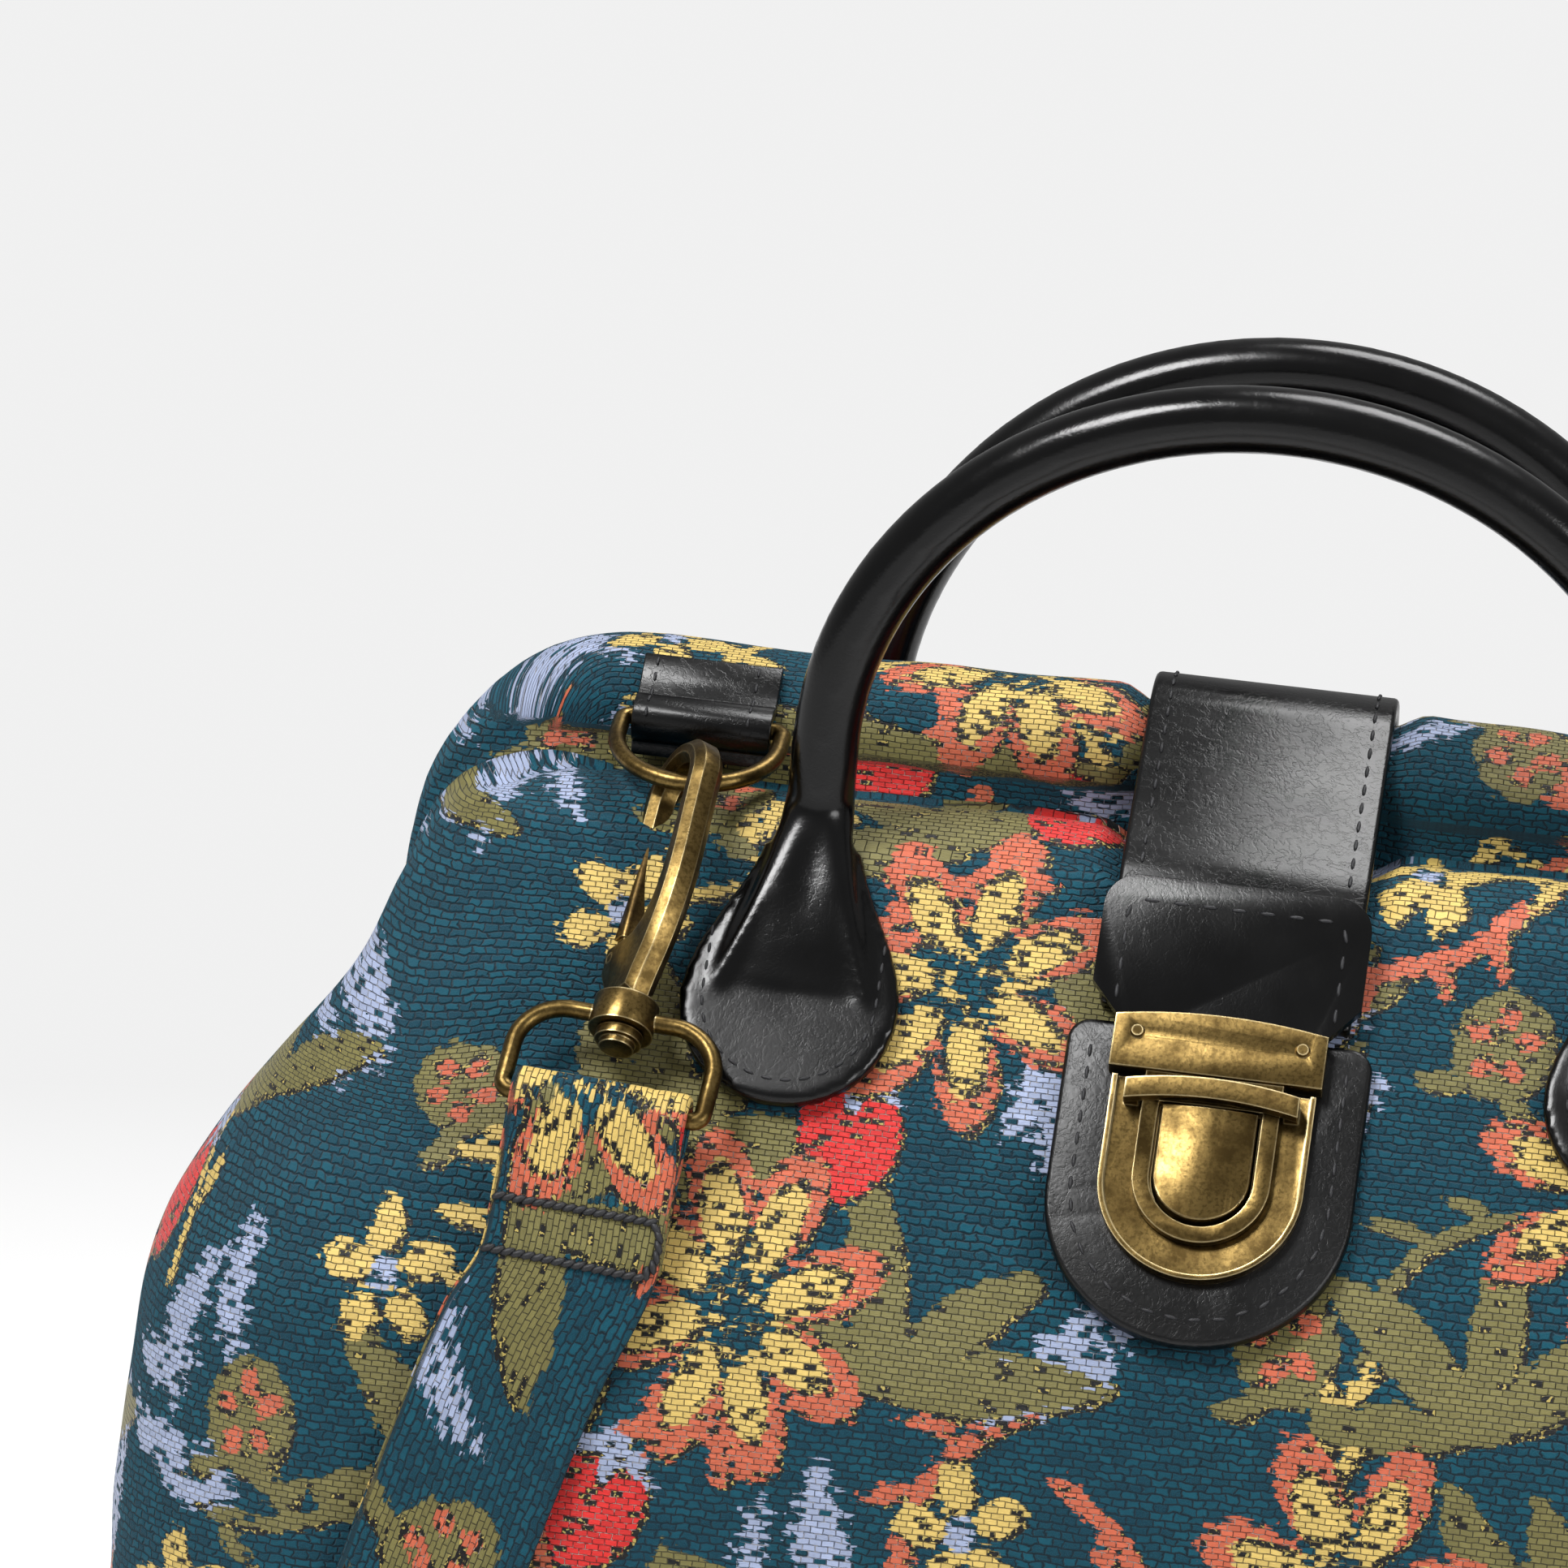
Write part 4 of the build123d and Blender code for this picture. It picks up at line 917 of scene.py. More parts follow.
def stroke(p, points, widths):
    """Distance to a bent line that is widths[i] wide, to each side, at points[i]."""
    best = np.full(len(p), 99.0)
    points = np.asarray(points, float)
    for a, b, wa, wb in zip(points[:-1], points[1:], widths[:-1], widths[1:]):
        edge = b - a
        t = np.clip(((p - a) @ edge) / max(edge @ edge, 1e-9), 0, 1)
        gap = p - a - t[:, None] * edge
        best = np.minimum(best, np.hypot(gap[:, 0], gap[:, 1]) - (wa + (wb - wa) * t))
    return best


def arc(start, heading, length, bend, steps=9):
    """Points of a line that starts at a place and heading and turns by bend over its length."""
    points = [np.array(start, float)]
    for k in range(steps):
        angle = heading + bend * (k + 0.5) / steps
        points.append(points[-1] + length / steps * np.array([cos(angle), sin(angle)]))
    return points


def leaf(p, start, heading, length, bend, width):
    """A bent stroke that swells from a narrow foot and narrows again to its tip."""
    points = arc(start, heading, length, bend)
    last = len(points) - 1
    widths = [width * sin(pi * (0.06 + 0.88 * k / last)) ** 0.8 for k in range(last + 1)]
    return stroke(p, points, widths)


def petals(p, yarn, count, start, reach, size, open_share):
    """A ring of petals that is a little taller than wide."""
    shapes = []
    for k in range(count):
        angle = start + 2 * pi * k / count
        out = np.array([cos(angle), 1.2 * sin(angle)])
        shapes.append((yarn, ellipse(p, out * reach, size, atan2(out[1], out[0])), open_share))
    return shapes


def spots(p, yarn, count, start, reach, size, open_share=0.0):
    """A ring of small ellipses, each turned outwards."""
    shapes = []
    for k in range(count):
        angle = 2 * pi * k / count + start
        centre = (reach[0] * cos(angle), reach[1] * sin(angle))
        shapes.append((yarn, ellipse(p, centre, size, angle), open_share))
    return shapes


def big_blossom(p, pick):
    """Coral petals with cream speckled hearts round a centre of plain ground."""
    count = pick.integers(7, 9)
    start = pick.uniform(0, pi)
    shapes = petals(p, "coral", count, start, 15.5, (9.5, 5.4), 0.06)
    shapes += petals(p, "cream", count, start, 12.0, (7.4, 3.4), 0.16)
    shapes.append(("ground", ellipse(p, (0, 0), (5.6, 7.2)), 0.0))
    return shapes + spots(p, "cream", 6, start + 0.4, (3.6, 4.4), (1.4, 1.0), 0.2)


def spotted_bud(p, pick):
    shapes = [("olive", ellipse(p, (0, 0), (8.4, 10.0), 0.2), 0.05)]
    shapes += spots(p, "coral", 5, 0.5, (4.3, 5.2), (2.2, 1.7))
    for side in (-1, 1):
        heading = -pi / 2 + side * 0.8
        shapes.append(("olive", leaf(p, (side * 3, -8), heading, 9, side * 0.9, 2.0), 0.0))
    return shapes


def berry(p, pick):
    """A red berry with a lavender cap on a coral stalk that hooks over it."""
    side = pick.choice([-1.0, 1.0])
    stalk = arc((0, 10), pi / 2, 26, -side * 2.9)
    shapes = [("coral", stroke(p, stalk, [1.5] * len(stalk)), 0.05)]
    shapes.append(("red", ellipse(p, (0, 0), (8.6, 11.5)), 0.12))
    for turn in (-0.7, 0.0, 0.7):
        shapes.append(("lavender", leaf(p, (0, 13), -pi / 2 + turn, 10, turn * 0.4, 1.9), 0.0))
    return shapes


def leaf_spray(p, pick):
    side = pick.choice([-1.0, 1.0])
    shapes = []
    leaves = ((0.35, 36, 5.2), (1.15, 30, 4.6), (2.0, 34, 5.0), (2.85, 26, 4.2))
    for heading, length, width in leaves:
        bend = side * pick.uniform(-0.9, 0.9)
        shapes.append(("olive", leaf(p, (0, -12), heading, length, bend, width), 0.05))
    return shapes


def lavender_sweep(p, pick):
    side = pick.choice([-1.0, 1.0])
    heading = pick.uniform(0, 2 * pi)
    shapes = []
    for _ in range(3):
        start = (pick.uniform(-9, 9), pick.uniform(-9, 9))
        turn = heading + pick.uniform(-0.5, 0.5)
        length, width = pick.uniform(18, 30), pick.uniform(2.2, 4.4)
        shapes.append(("lavender", leaf(p, start, turn, length, side * 0.9, width), 0.1))
    return shapes


def small_blossom(p, pick):
    shapes = spots(p, "cream", 5, 0.3, (7.0, 7.6), (4.4, 3.0), 0.08)
    return shapes + [("lavender", ellipse(p, (0, 0), (2.6, 3.2)), 0.0)]


def vine(p, pick):
    """A thin forked stem."""
    yarn = pick.choice(["cream", "cream", "coral", "olive"])
    heading = pick.uniform(0, 2 * pi)
    bend = pick.uniform(0.9, 1.9) * pick.choice([-1, 1])
    width = 1.6 if yarn == "coral" else 1.2
    start = -22 * np.array([cos(heading), sin(heading)])
    line = arc(start, heading, 44, bend, 12)
    shapes = [(yarn, stroke(p, line, [width] * len(line)), 0.0)]
    for k in (3, 6, 9):
        branch = heading + bend * k / 12 + pick.choice([-1, 1]) * pick.uniform(0.7, 1.2)
        shapes.append((yarn, leaf(p, line[k], branch, pick.uniform(7, 13), 0.5, 1.5), 0.0))
    return shapes


# %% Flower layout
MOTIF_REACH = 46.0  # no shape reaches further from its own middle
MOTIF_SPACING = 31.0
VINE_SHARE = 0.45  # how many of the places between shapes get a vine
# smaller kinds first, so that big flowers lie over them
kinds = (vine, lavender_sweep, leaf_spray, small_blossom, spotted_bud, berry, big_blossom)
# the kinds in turn along the rows
sown = (big_blossom, leaf_spray, lavender_sweep, spotted_bud, leaf_spray)
sown += (berry, lavender_sweep, small_blossom, vine)


def motif_plan(low, high, seed):
    """Kinds and places of the shapes over a stretch of cloth, smaller kinds first."""
    pick = np.random.default_rng(seed)
    plan = []
    columns, rows = (ceil((high[i] - low[i]) / MOTIF_SPACING) + 1 for i in (0, 1))
    for row in range(rows):
        for column in range(columns):
            centre = (
                low[0] + (column + 0.5 * (row % 2)) * MOTIF_SPACING + pick.uniform(-5, 5),
                low[1] + row * MOTIF_SPACING + pick.uniform(-5, 5),
            )
            kind = sown[(column + 4 * row + seed) % len(sown)]
            turn = pick.uniform(-0.5, 0.5)
            plan.append((kind, centre, turn, int(pick.integers(1e6))))
            if pick.random() < VINE_SHARE:
                between = (centre[0] + MOTIF_SPACING / 2, centre[1] + MOTIF_SPACING / 3)
                plan.append((vine, between, 0.0, int(pick.integers(1e6))))
    return sorted(plan, key=lambda item: kinds.index(item[0]))


def weave(u, v, seed):
    """How far each point is from every yarn's edge, and from the shadow line beside the shapes."""
    place = np.stack([u, v], 1)
    everywhere = np.full(len(place), 9.0)
    distance = {name: everywhere.copy() for name in yarns}
    speckle = np.zeros(len(place))
    shadow = everywhere.copy()
    for kind, centre, turn, own_seed in motif_plan(place.min(0) - 20, place.max(0) + 20, seed):
        gap = place - centre
        near = np.flatnonzero(np.abs(gap).max(1) < MOTIF_REACH)
        if not len(near):
            continue
        c, s = cos(turn), sin(turn)
        spin = np.array([[c, -s], [s, c]])
        local = gap[near] @ spin
        shifted = (gap[near] + (-0.9, 0.7)) @ spin
        here = kind(local, np.random.default_rng(own_seed))
        beside = kind(shifted, np.random.default_rng(own_seed))
        for (yarn, d, open_share), (_, beside_d, _) in zip(here, beside):
            for other in yarns:
                if other != yarn:
                    distance[other][near] = np.maximum(distance[other][near], -d)
            if yarn == "ground":
                shadow[near] = np.maximum(shadow[near], -beside_d)
                continue
            distance[yarn][near] = np.minimum(distance[yarn][near], d)
            speckle[near] = np.where(d < 0.4, open_share, speckle[near])
            if yarn != "lavender":
                shadow[near] = np.minimum(shadow[near], beside_d)
    return distance, shadow, speckle


def weave_piece(piece, u, v, seed):
    """Gives a cloth piece its flat coordinates and flower distances."""
    mesh = piece.data
    write_uv(mesh, u, v)
    distance, shadow, speckle = weave(u, v, seed)
    for name, values in distance.items():
        write_attribute(mesh, name, values)
    write_attribute(mesh, "shadow", shadow)
    write_attribute(mesh, "speckle", speckle)
    mesh.materials.append(chenille)


# %% Weave the body's cloth
CLOTH_WALL = 2.4
cloth_nodes = {
    "front": ("front_panel", "front_casing"),
    "back": ("back_panel", "back_casing"),
    "end_left": ("left_gusset",),
    "end_right": ("right_gusset",),
    "base": ("base_panel",),
}
for seed, (part, piece) in enumerate(cloth_parts.items(), start=11):
    place = vertex_vectors(piece.data, "co") / MM
    u, v = flat_coordinates(part, place)
    weave_piece(piece, u, v, seed)
    wall = piece.modifiers.new("wall", "SOLIDIFY")
    wall.thickness = CLOTH_WALL * MM
    wall.offset = -1.0
    apply_modifiers(piece)
    finish_piece(piece, "bag", "chenille_tapestry", *cloth_nodes[part])
    print("woven", part, len(piece.data.polygons), "faces")

# %% [markdown]
# The shoulder strap is one band of cloth. It is doubled behind itself round the eye's bar, falls
# down the front, twists on to its edge over the floor and comes back up on the other side.

# %% Shoulder strap
BAND_W = 30.0
BAND_T = 2.6
LOOP_LENGTH = 26.0
FALL_END = 44.0
TWIST_RUN = 64.0
TURN_R = 62.0
TURN = radians(80)
CLOTH_TO_BAND = 2.9
BAR_R = 3.2  # from the eye's bar to the middle of the cloth round it
FLOOR_GAP = 1.8  # from the floor to the middle of the cloth that lies on it
clip_middle = Vector((-98.862, -62.161, 197.697))
clip_up = Vector((0.061049, 0.665124, 0.744234))
clip_out = Vector((0, -0.745625, 0.666367))
clip_across = clip_up.cross(clip_out).normalized()
eye_bar = clip_middle - clip_up * 17.0
loop_way = Vector((-sin(radians(3.5)), -sin(radians(20)), -cos(radians(20)))).normalized()
loop_out = clip_across.cross(-loop_way).normalized()
loop_way = -loop_out.cross(clip_across)


def front_cloth(z):
    return float(smooth_levels([z])[0][1])


def band_stations():
    """Places of the band's middle line with the way its width points, from tail to middle."""
    leg = ((LOOP_LENGTH, 1.5), (17, 1.5), (10, 1.9), (5, 2.7), (2, BAR_R))
    loop = [(along, -out) for along, out in leg]
    for k in range(7):
        turn = -pi / 2 - pi * k / 6
        loop.append((BAR_R * cos(turn), BAR_R * sin(turn)))
    loop += reversed(leg)
    stations = [(eye_bar + loop_way * along + loop_out * out, clip_across) for along, out in loop]
    before = stations[-1][0]
    hang = ((-107.5, 146.0), (-113.5, 126.0), (-120.0, 102.0), (-127.5, 72.0), (-135.0, FALL_END))
    for x, z in hang:
        way = Vector((x - before.x, 0, z - before.z)).normalized()
        before = Vector((x, front_cloth(z) - CLOTH_TO_BAND, z))
        stations.append((before, Vector((-way.z, 0, way.x))))
    splay = atan2(-way.x, -way.z)
    bend_r = FALL_END - FLOOR_GAP
    last = before
    for k in range(1, 9):
        turn = pi / 2 * k / 8
        out, down = -bend_r * (1 - cos(turn)), -bend_r * sin(turn)
        place = last + Vector((-bend_r * turn * sin(splay), out, down))
        width = Vector((cos(splay), -sin(splay) * sin(turn), -sin(splay) * cos(turn)))
        stations.append((place, width))
    landing = stations[-1][0]
    heading = Vector((-sin(splay), -cos(splay), 0))
    for k in range(1, 9):
        turn = pi / 2 * k / 8
        spot = landing + heading * (TWIST_RUN * k / 8)
        spot.z = 0.3 + BAND_W / 2 * sin(turn) + 1.5 * cos(turn)
        width = Vector((cos(splay) * cos(turn), -sin(splay) * cos(turn), sin(turn)))
        stations.append((spot, width))
    upright = Vector((0, 0, 1))
    corner = stations[-1][0]
    facing = atan2(heading.y, heading.x)
    centre = corner + Vector((-sin(facing), cos(facing), 0)) * TURN_R
    for k in range(1, 11):
        turn = facing + TURN * k / 10
        stations.append((centre + Vector((sin(turn), -cos(turn), 0)) * TURN_R, upright))
    corner = stations[-1][0]
    rest = -(facing + TURN)
    wide_r = -corner.x / sin(rest)
    centre = corner + Vector((sin(rest), cos(rest), 0)) * wide_r
    for k in range(1, 11):
        turn = -rest * (1 - k / 10)
        stations.append((centre + Vector((sin(turn), -cos(turn), 0)) * wide_r, upright))
    return stations


def resampled(stations, step):
    """The stations on a smooth curve at even distances."""
    points = np.array([list(p) for p, _ in stations])
    widths = np.array([list(w) for _, w in stations])
    gaps = np.linalg.norm(np.diff(points, axis=0), axis=1)
    at = np.concatenate([[0], np.cumsum(gaps)])
    slope = np.gradient(points, at, axis=0)
    goals = np.linspace(0, at[-1], int(at[-1] / step) + 1)
    i = np.clip(np.searchsorted(at, goals) - 1, 0, len(at) - 2)
    gap = (at[i + 1] - at[i])[:, None]
    t = ((goals - at[i])[:, None]) / gap
    curve = hermite(t, gap, points[i], points[i + 1], slope[i], slope[i + 1])
    width = widths[i] * (1 - t) + widths[i + 1] * t
    return curve, width / np.linalg.norm(width, axis=1)[:, None], goals


def band_section():
    """Half width and height round a flat band with rounded edges."""
    half, thick = BAND_W / 2, BAND_T / 2
    top = list(np.linspace(-half + thick, half - thick, 17))
    section = [(x, thick) for x in top]
    section += [(half - thick + thick * cos(a), thick * sin(a)) for a in (0.9, 0.3, -0.3, -0.9)]
    section += [(x, -thick) for x in reversed(top)]
    section += [(-half + thick - thick * cos(a), thick * sin(a)) for a in (-0.9, -0.3, 0.3, 0.9)]
    return section


band_curve, band_width, band_at = resampled(band_stations(), 1.8)
band_way = np.gradient(band_curve, axis=0)
band_way /= np.linalg.norm(band_way, axis=1)[:, None]
band_out = np.cross(band_way, band_width)
band_out /= np.linalg.norm(band_out, axis=1)[:, None]
print("strap half length", round(float(band_at[-1])), "mm")


def make_band(name, side, seed):
    """One half of the strap, closed at both ends."""
    section = band_section()
    rings = []
    flat_u, flat_v = [], []
    arc_length = [0.0]
    for a, b in zip(section[:-1], section[1:]):
        arc_length.append(arc_length[-1] + hypot(b[0] - a[0], b[1] - a[1]))
    for point, width, out, at in zip(band_curve, band_width, band_out, band_at):
        ring = []
        for (x, h), v in zip(section, arc_length):
            seam = 0.35 * np.exp(-(((x - 9.0) / 0.55) ** 2)) if h > 0 else 0.0
            spot = point + width * x + out * (h - seam)
            ring.append(Vector((spot[0] * (-side), spot[1], max(spot[2], 0.1))) * MM)
            flat_u.append(at)
            flat_v.append(v)
        rings.append(ring)
    vertices, faces = bridge_rings(rings)
    piece = new_object(name, vertices, faces)
    edit_mesh(piece, outward)
    weave_piece(piece, np.array(flat_u), np.array(flat_v), seed)
    return piece


bands = {}
for name, side, seed in (("left", -1, 31), ("right", 1, 47)):
    bands[name] = make_band("shoulder_strap_" + name, side, seed)


def mirrored(point, side):
    return Vector((point[0] * (-side), point[1], point[2]))


# %% [markdown]
# Stitches repeat by the hundred, so one Geometry Nodes tree places a small bead of thread at every
# point of a mesh. The points carry the turn of their stitch, and the tree's inputs are the stitch's
# length, its thickness and the thread's material.

# %% Stitch tree
def make_stitch_tree():
    tree = bpy.data.node_groups.new("stitches", "GeometryNodeTree")
    made = {}
    for label, kind in (
        ("Geometry", "NodeSocketGeometry"),
        ("Length", "NodeSocketFloat"),
        ("Thickness", "NodeSocketFloat"),
        ("Thread", "NodeSocketMaterial"),
    ):
        made[label] = tree.interface.new_socket(label, in_out="INPUT", socket_type=kind)
    tree.interface.new_socket("Geometry", in_out="OUTPUT", socket_type="NodeSocketGeometry")
    node, link = tree.nodes.new, tree.links.new
    source, result = node("NodeGroupInput"), node("NodeGroupOutput")
    turn = node("GeometryNodeInputNamedAttribute")
    turn.data_type = "FLOAT_VECTOR"
    turn.inputs["Name"].default_value = "turn"
    bead = node("GeometryNodeMeshUVSphere")
    bead.inputs["Segments"].default_value = 7
    bead.inputs["Rings"].default_value = 5
    bead.inputs["Radius"].default_value = 0.5
    size = node("ShaderNodeCombineXYZ")
    for axis, label in (("X", "Length"), ("Y", "Thickness"), ("Z", "Thickness")):
        link(source.outputs[label], size.inputs[axis])
    place = node("GeometryNodeInstanceOnPoints")
    link(source.outputs["Geometry"], place.inputs["Points"])
    link(bead.outputs["Mesh"], place.inputs["Instance"])
    link(turn.outputs["Attribute"], place.inputs["Rotation"])
    link(size.outputs[0], place.inputs["Scale"])
    real = node("GeometryNodeRealizeInstances")
    smooth = node("GeometryNodeSetShadeSmooth")
    paint = node("GeometryNodeSetMaterial")
    link(place.outputs[0], real.inputs[0])
    link(real.outputs[0], smooth.inputs[0])
    link(smooth.outputs[0], paint.inputs[0])
    link(source.outputs["Thread"], paint.inputs["Material"])
    link(paint.outputs[0], result.inputs[0])
    return tree, {label: socket.identifier for label, socket in made.items()}


stitch_tree, stitch_inputs = make_stitch_tree()


def spaced(path, pitch):
    """Points and ways at even distances along a polyline, all in millimetres."""
    path = [Vector(p) for p in path]
    lengths = [0.0]
    for a, b in zip(path[:-1], path[1:]):
        lengths.append(lengths[-1] + (b - a).length)
    count = max(int(lengths[-1] / pitch), 1)
    spots = []
    for k in range(count):
        goal = (k + 0.5) * lengths[-1] / count
        i = min(int(np.searchsorted(lengths, goal)), len(path) - 1)
        way = path[i] - path[i - 1]
        share = (goal - lengths[i - 1]) / max(lengths[i] - lengths[i - 1], 1e-9)
        spots.append((path[i - 1] + way * share, way.normalized()))
    return spots


def stitch_rows(name, rows, pitch, length, thickness, thread, lean=0.0):
    """A piece with a stitch at every pitch of each row. A row is a path and the side it faces."""
    points, turns = [], []
    for path, outs in rows:
        spots = spaced(path, pitch)
        for k, (spot, way) in enumerate(spots):
            out = Vector(outs[min(int(k * len(outs) / len(spots)), len(outs) - 1)]).normalized()
            across = out.cross(way).normalized()
            way = (way * cos(lean) + across * sin(lean)).normalized()
            across = out.cross(way).normalized()
            axes = Matrix((way, across, way.cross(across))).transposed()
            points.append(spot * MM)
            turns.append(tuple(axes.to_euler()))
    piece = new_object(name, points, [])
    layer = piece.data.attributes.new("turn", "FLOAT_VECTOR", "POINT")
    layer.data.foreach_set("vector", np.array(turns, np.float32).ravel())
    sew = piece.modifiers.new("sew", "NODES")
    sew.node_group = stitch_tree
    sew[stitch_inputs["Length"]] = length * MM
    sew[stitch_inputs["Thickness"]] = thickness * MM
    sew[stitch_inputs["Thread"]] = thread
    apply_modifiers(piece)
    return piece


# %% Strap stitches
def band_point(at, x, lift):
    i = int(np.argmin(np.abs(band_at - at)))
    return Vector(band_curve[i] + band_width[i] * x + band_out[i] * (BAND_T / 2 + lift))


BOX_TOP, BOX_LOW = 18.5, 26.5  # down the band from the eye's bar
BOX_LEFT, BOX_RIGHT = -14.2, 12.6
TURN_SIZE = (4.0, 1.7)
loop_front = np.array(eye_bar + loop_out * BAR_R)
front_of_band = float(band_at[np.argmin(np.linalg.norm(band_curve - loop_front, axis=1))])

box = [(BOX_TOP, x) for x in np.linspace(BOX_LEFT, BOX_RIGHT, 24)]
box += [
    (BOX_TOP + TURN_SIZE[0] * (1 - cos(a)), BOX_RIGHT + TURN_SIZE[1] * sin(a))
    for a in np.linspace(0.3, pi - 0.3, 8)
]
box += [(BOX_LOW, x) for x in np.linspace(BOX_RIGHT, BOX_LEFT, 24)]
band_threads = {}
for name, side in (("left", -1), ("right", 1)):
    path = [mirrored(band_point(front_of_band + at, x, 0.25), side) for at, x in box]
    rows = [(path, [mirrored(loop_out, side)])]
    band_threads[name] = stitch_rows(
        "strap_thread_" + name, rows, 1.7, 2.9, 1.35, black_thread, 0.45 * (-side)
    )


for name, side in (("left", -1), ("right", 1)):
    for piece in (bands[name], band_threads[name]):
        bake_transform(piece)
    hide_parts("shoulder_strap")
print("strap made")

# %% [markdown]
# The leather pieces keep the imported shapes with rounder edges. A slope frame gives places on the
# front of the bag as millimetres across, down the slope and off it, so seams are laid out as on a
# pattern.

# %% Leather sheets
SLOPE_ORIGIN = Vector((0, *FRONT_SLOPE_TOP))
SLOPE_UP = Vector((0, 0.5736, 0.8192))
SLOPE_OUT = Vector((0, -0.8192, 0.5736))
BACK_ORIGIN = Vector((0, *BACK_SLOPE_TOP))
BACK_UP = Vector((0, -0.5736, 0.8192))
BACK_OUT = Vector((0, 0.8192, 0.5736))
STRAP_CENTRE = (-7.0, 205.0)  # the closing strap curves round this place in y and z
TAB_TRIM = radians(128)  # how far round the back roll a ring tab is in sight
ROUND_OFF = radians(32)  # edges that turn more than this are rounded off


def on_slope(x, down, off):
    return SLOPE_ORIGIN + Vector((x, 0, 0)) - SLOPE_UP * down + SLOPE_OUT * off


def trim_behind(bm):
    """Cuts away the strip's part that the cloth covers at the back of the roll."""
    bmesh.ops.bisect_plane(
        bm,
        geom=bm.verts[:] + bm.edges[:] + bm.faces[:],
        plane_co=Vector((0, *BACK_ROLL[:2])) * MM,
        plane_no=Vector((0, sin(TAB_TRIM), -cos(TAB_TRIM))),
        clear_outer=True,
    )
    bmesh.ops.holes_fill(bm, edges=[e for e in bm.edges if e.is_boundary])
    outward(bm)


def rounded_copy(node, body, slot, material, radius):
    """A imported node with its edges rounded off, in its place."""
    piece = merged_copy(node + "_look", node)
    if node.startswith("ring_tab"):
        edit_mesh(piece, trim_behind)
    bevel = piece.modifiers.new("edges", "BEVEL")
    bevel.width = radius * MM
    bevel.segments = 3
    bevel.limit_method = "ANGLE"
    bevel.angle_limit = ROUND_OFF
    bevel.harden_normals = True
    piece.data.shade_smooth()
    apply_modifiers(piece)
    paint(piece, material)
    return finish_piece(piece, body, slot, node)


leather_looks = {}
for node, material, radius in (
    ("closure_strap", strap_leather, 0.9),
    ("closure_flap", smooth_leather, 0.7),
    ("lock_leather_base", grained_leather, 0.9),
    ("ring_tab_left", strap_leather, 0.6),
    ("ring_tab_right", strap_leather, 0.6),
):
    leather_looks[node] = rounded_copy(node, "bag", "black_leather", material, radius)


def sink(piece, middle, depth, low, high):
    """Moves a leather piece's upper part towards a middle line, as if pressed into the rolls."""
    place = vertex_vectors(piece.data, "co") / MM
    way = place - np.array([0.0, *middle])
    way[:, 0] = 0
    way /= np.linalg.norm(way, axis=1)[:, None]
    place -= way * (depth * ramp(place[:, 2], low, high))[:, None]
    set_coordinates(piece.data, place * MM)


sink(leather_looks["closure_strap"], STRAP_CENTRE, STRAP_PRESS, 212, 240)
for side in ("left", "right"):
    sink(leather_looks["ring_tab_" + side], BACK_ROLL[:2], 1.6, 241, 247)
print("leather sheets", len(leather_looks))

# %% [markdown]
# A handle is a rolled tube that flares out through its necks into flat tabs. Tube, flares, folds
# and tabs are drawn as separate closed forms and joined by a voxel remesh, like wet leather pressed
# together. The back handle has the same form, lower down on its own slope.

# %% Handles
HANDLE_R = 5.75
HANDLE_X = 72.5
HANDLE_ARCH = 62.0
LEG_HEIGHTS = (-3.0, 0.0, 4.0, 10.0)
ARCH_STEPS = 60
TAB_W = 37.0
TAB_T = 4.0
TAB_END = 45.0
NECK_RISE = 9.8
NECK_W = 8.5  # half the tab's width where it leaves the neck
NECK_END = (24, 26)  # how far down the tab the flare and the folds go
SEAT = 0.4
TAB_FACE = SEAT + TAB_T * 0.86


class HandleSeat:
    """A handle's slope and its ways up and out, how far it leans, sits down and stands off."""

    def __init__(self, origin, up, out, lean, drop, stand):
        self.origin, self.up, self.out, self.drop = origin, up, out, drop
        self.level = NECK_RISE - drop
        self.rise = Vector((0, -sin(radians(lean)), cos(radians(lean))))
        self.middle = origin + up * self.level + out * (TAB_T + SEAT + stand)

    def spot(self, x, down, off):
        """A place in metres from millimetres across, down the tab and off the slope."""
        place = self.origin + Vector((x, 0, 0)) - self.up * (self.drop + down) + self.out * off
        return place * MM


def arch_tube(seat, taller):
    """The rolled tube: straight legs and a half ellipse over them."""
    path = [Vector((-HANDLE_X, 0, 0)) + seat.rise * h for h in LEG_HEIGHTS]
    for k in range(1, ARCH_STEPS):
        turn = pi - pi * k / ARCH_STEPS
        height = LEG_HEIGHTS[-1] + (HANDLE_ARCH + taller) * sin(turn)
        path.append(Vector((HANDLE_X * cos(turn), 0, 0)) + seat.rise * height)
    path += [Vector((HANDLE_X, 0, 0)) + seat.rise * h for h in reversed(LEG_HEIGHTS)]
    return tube_form([seat.middle + p for p in path], [HANDLE_R] * len(path))


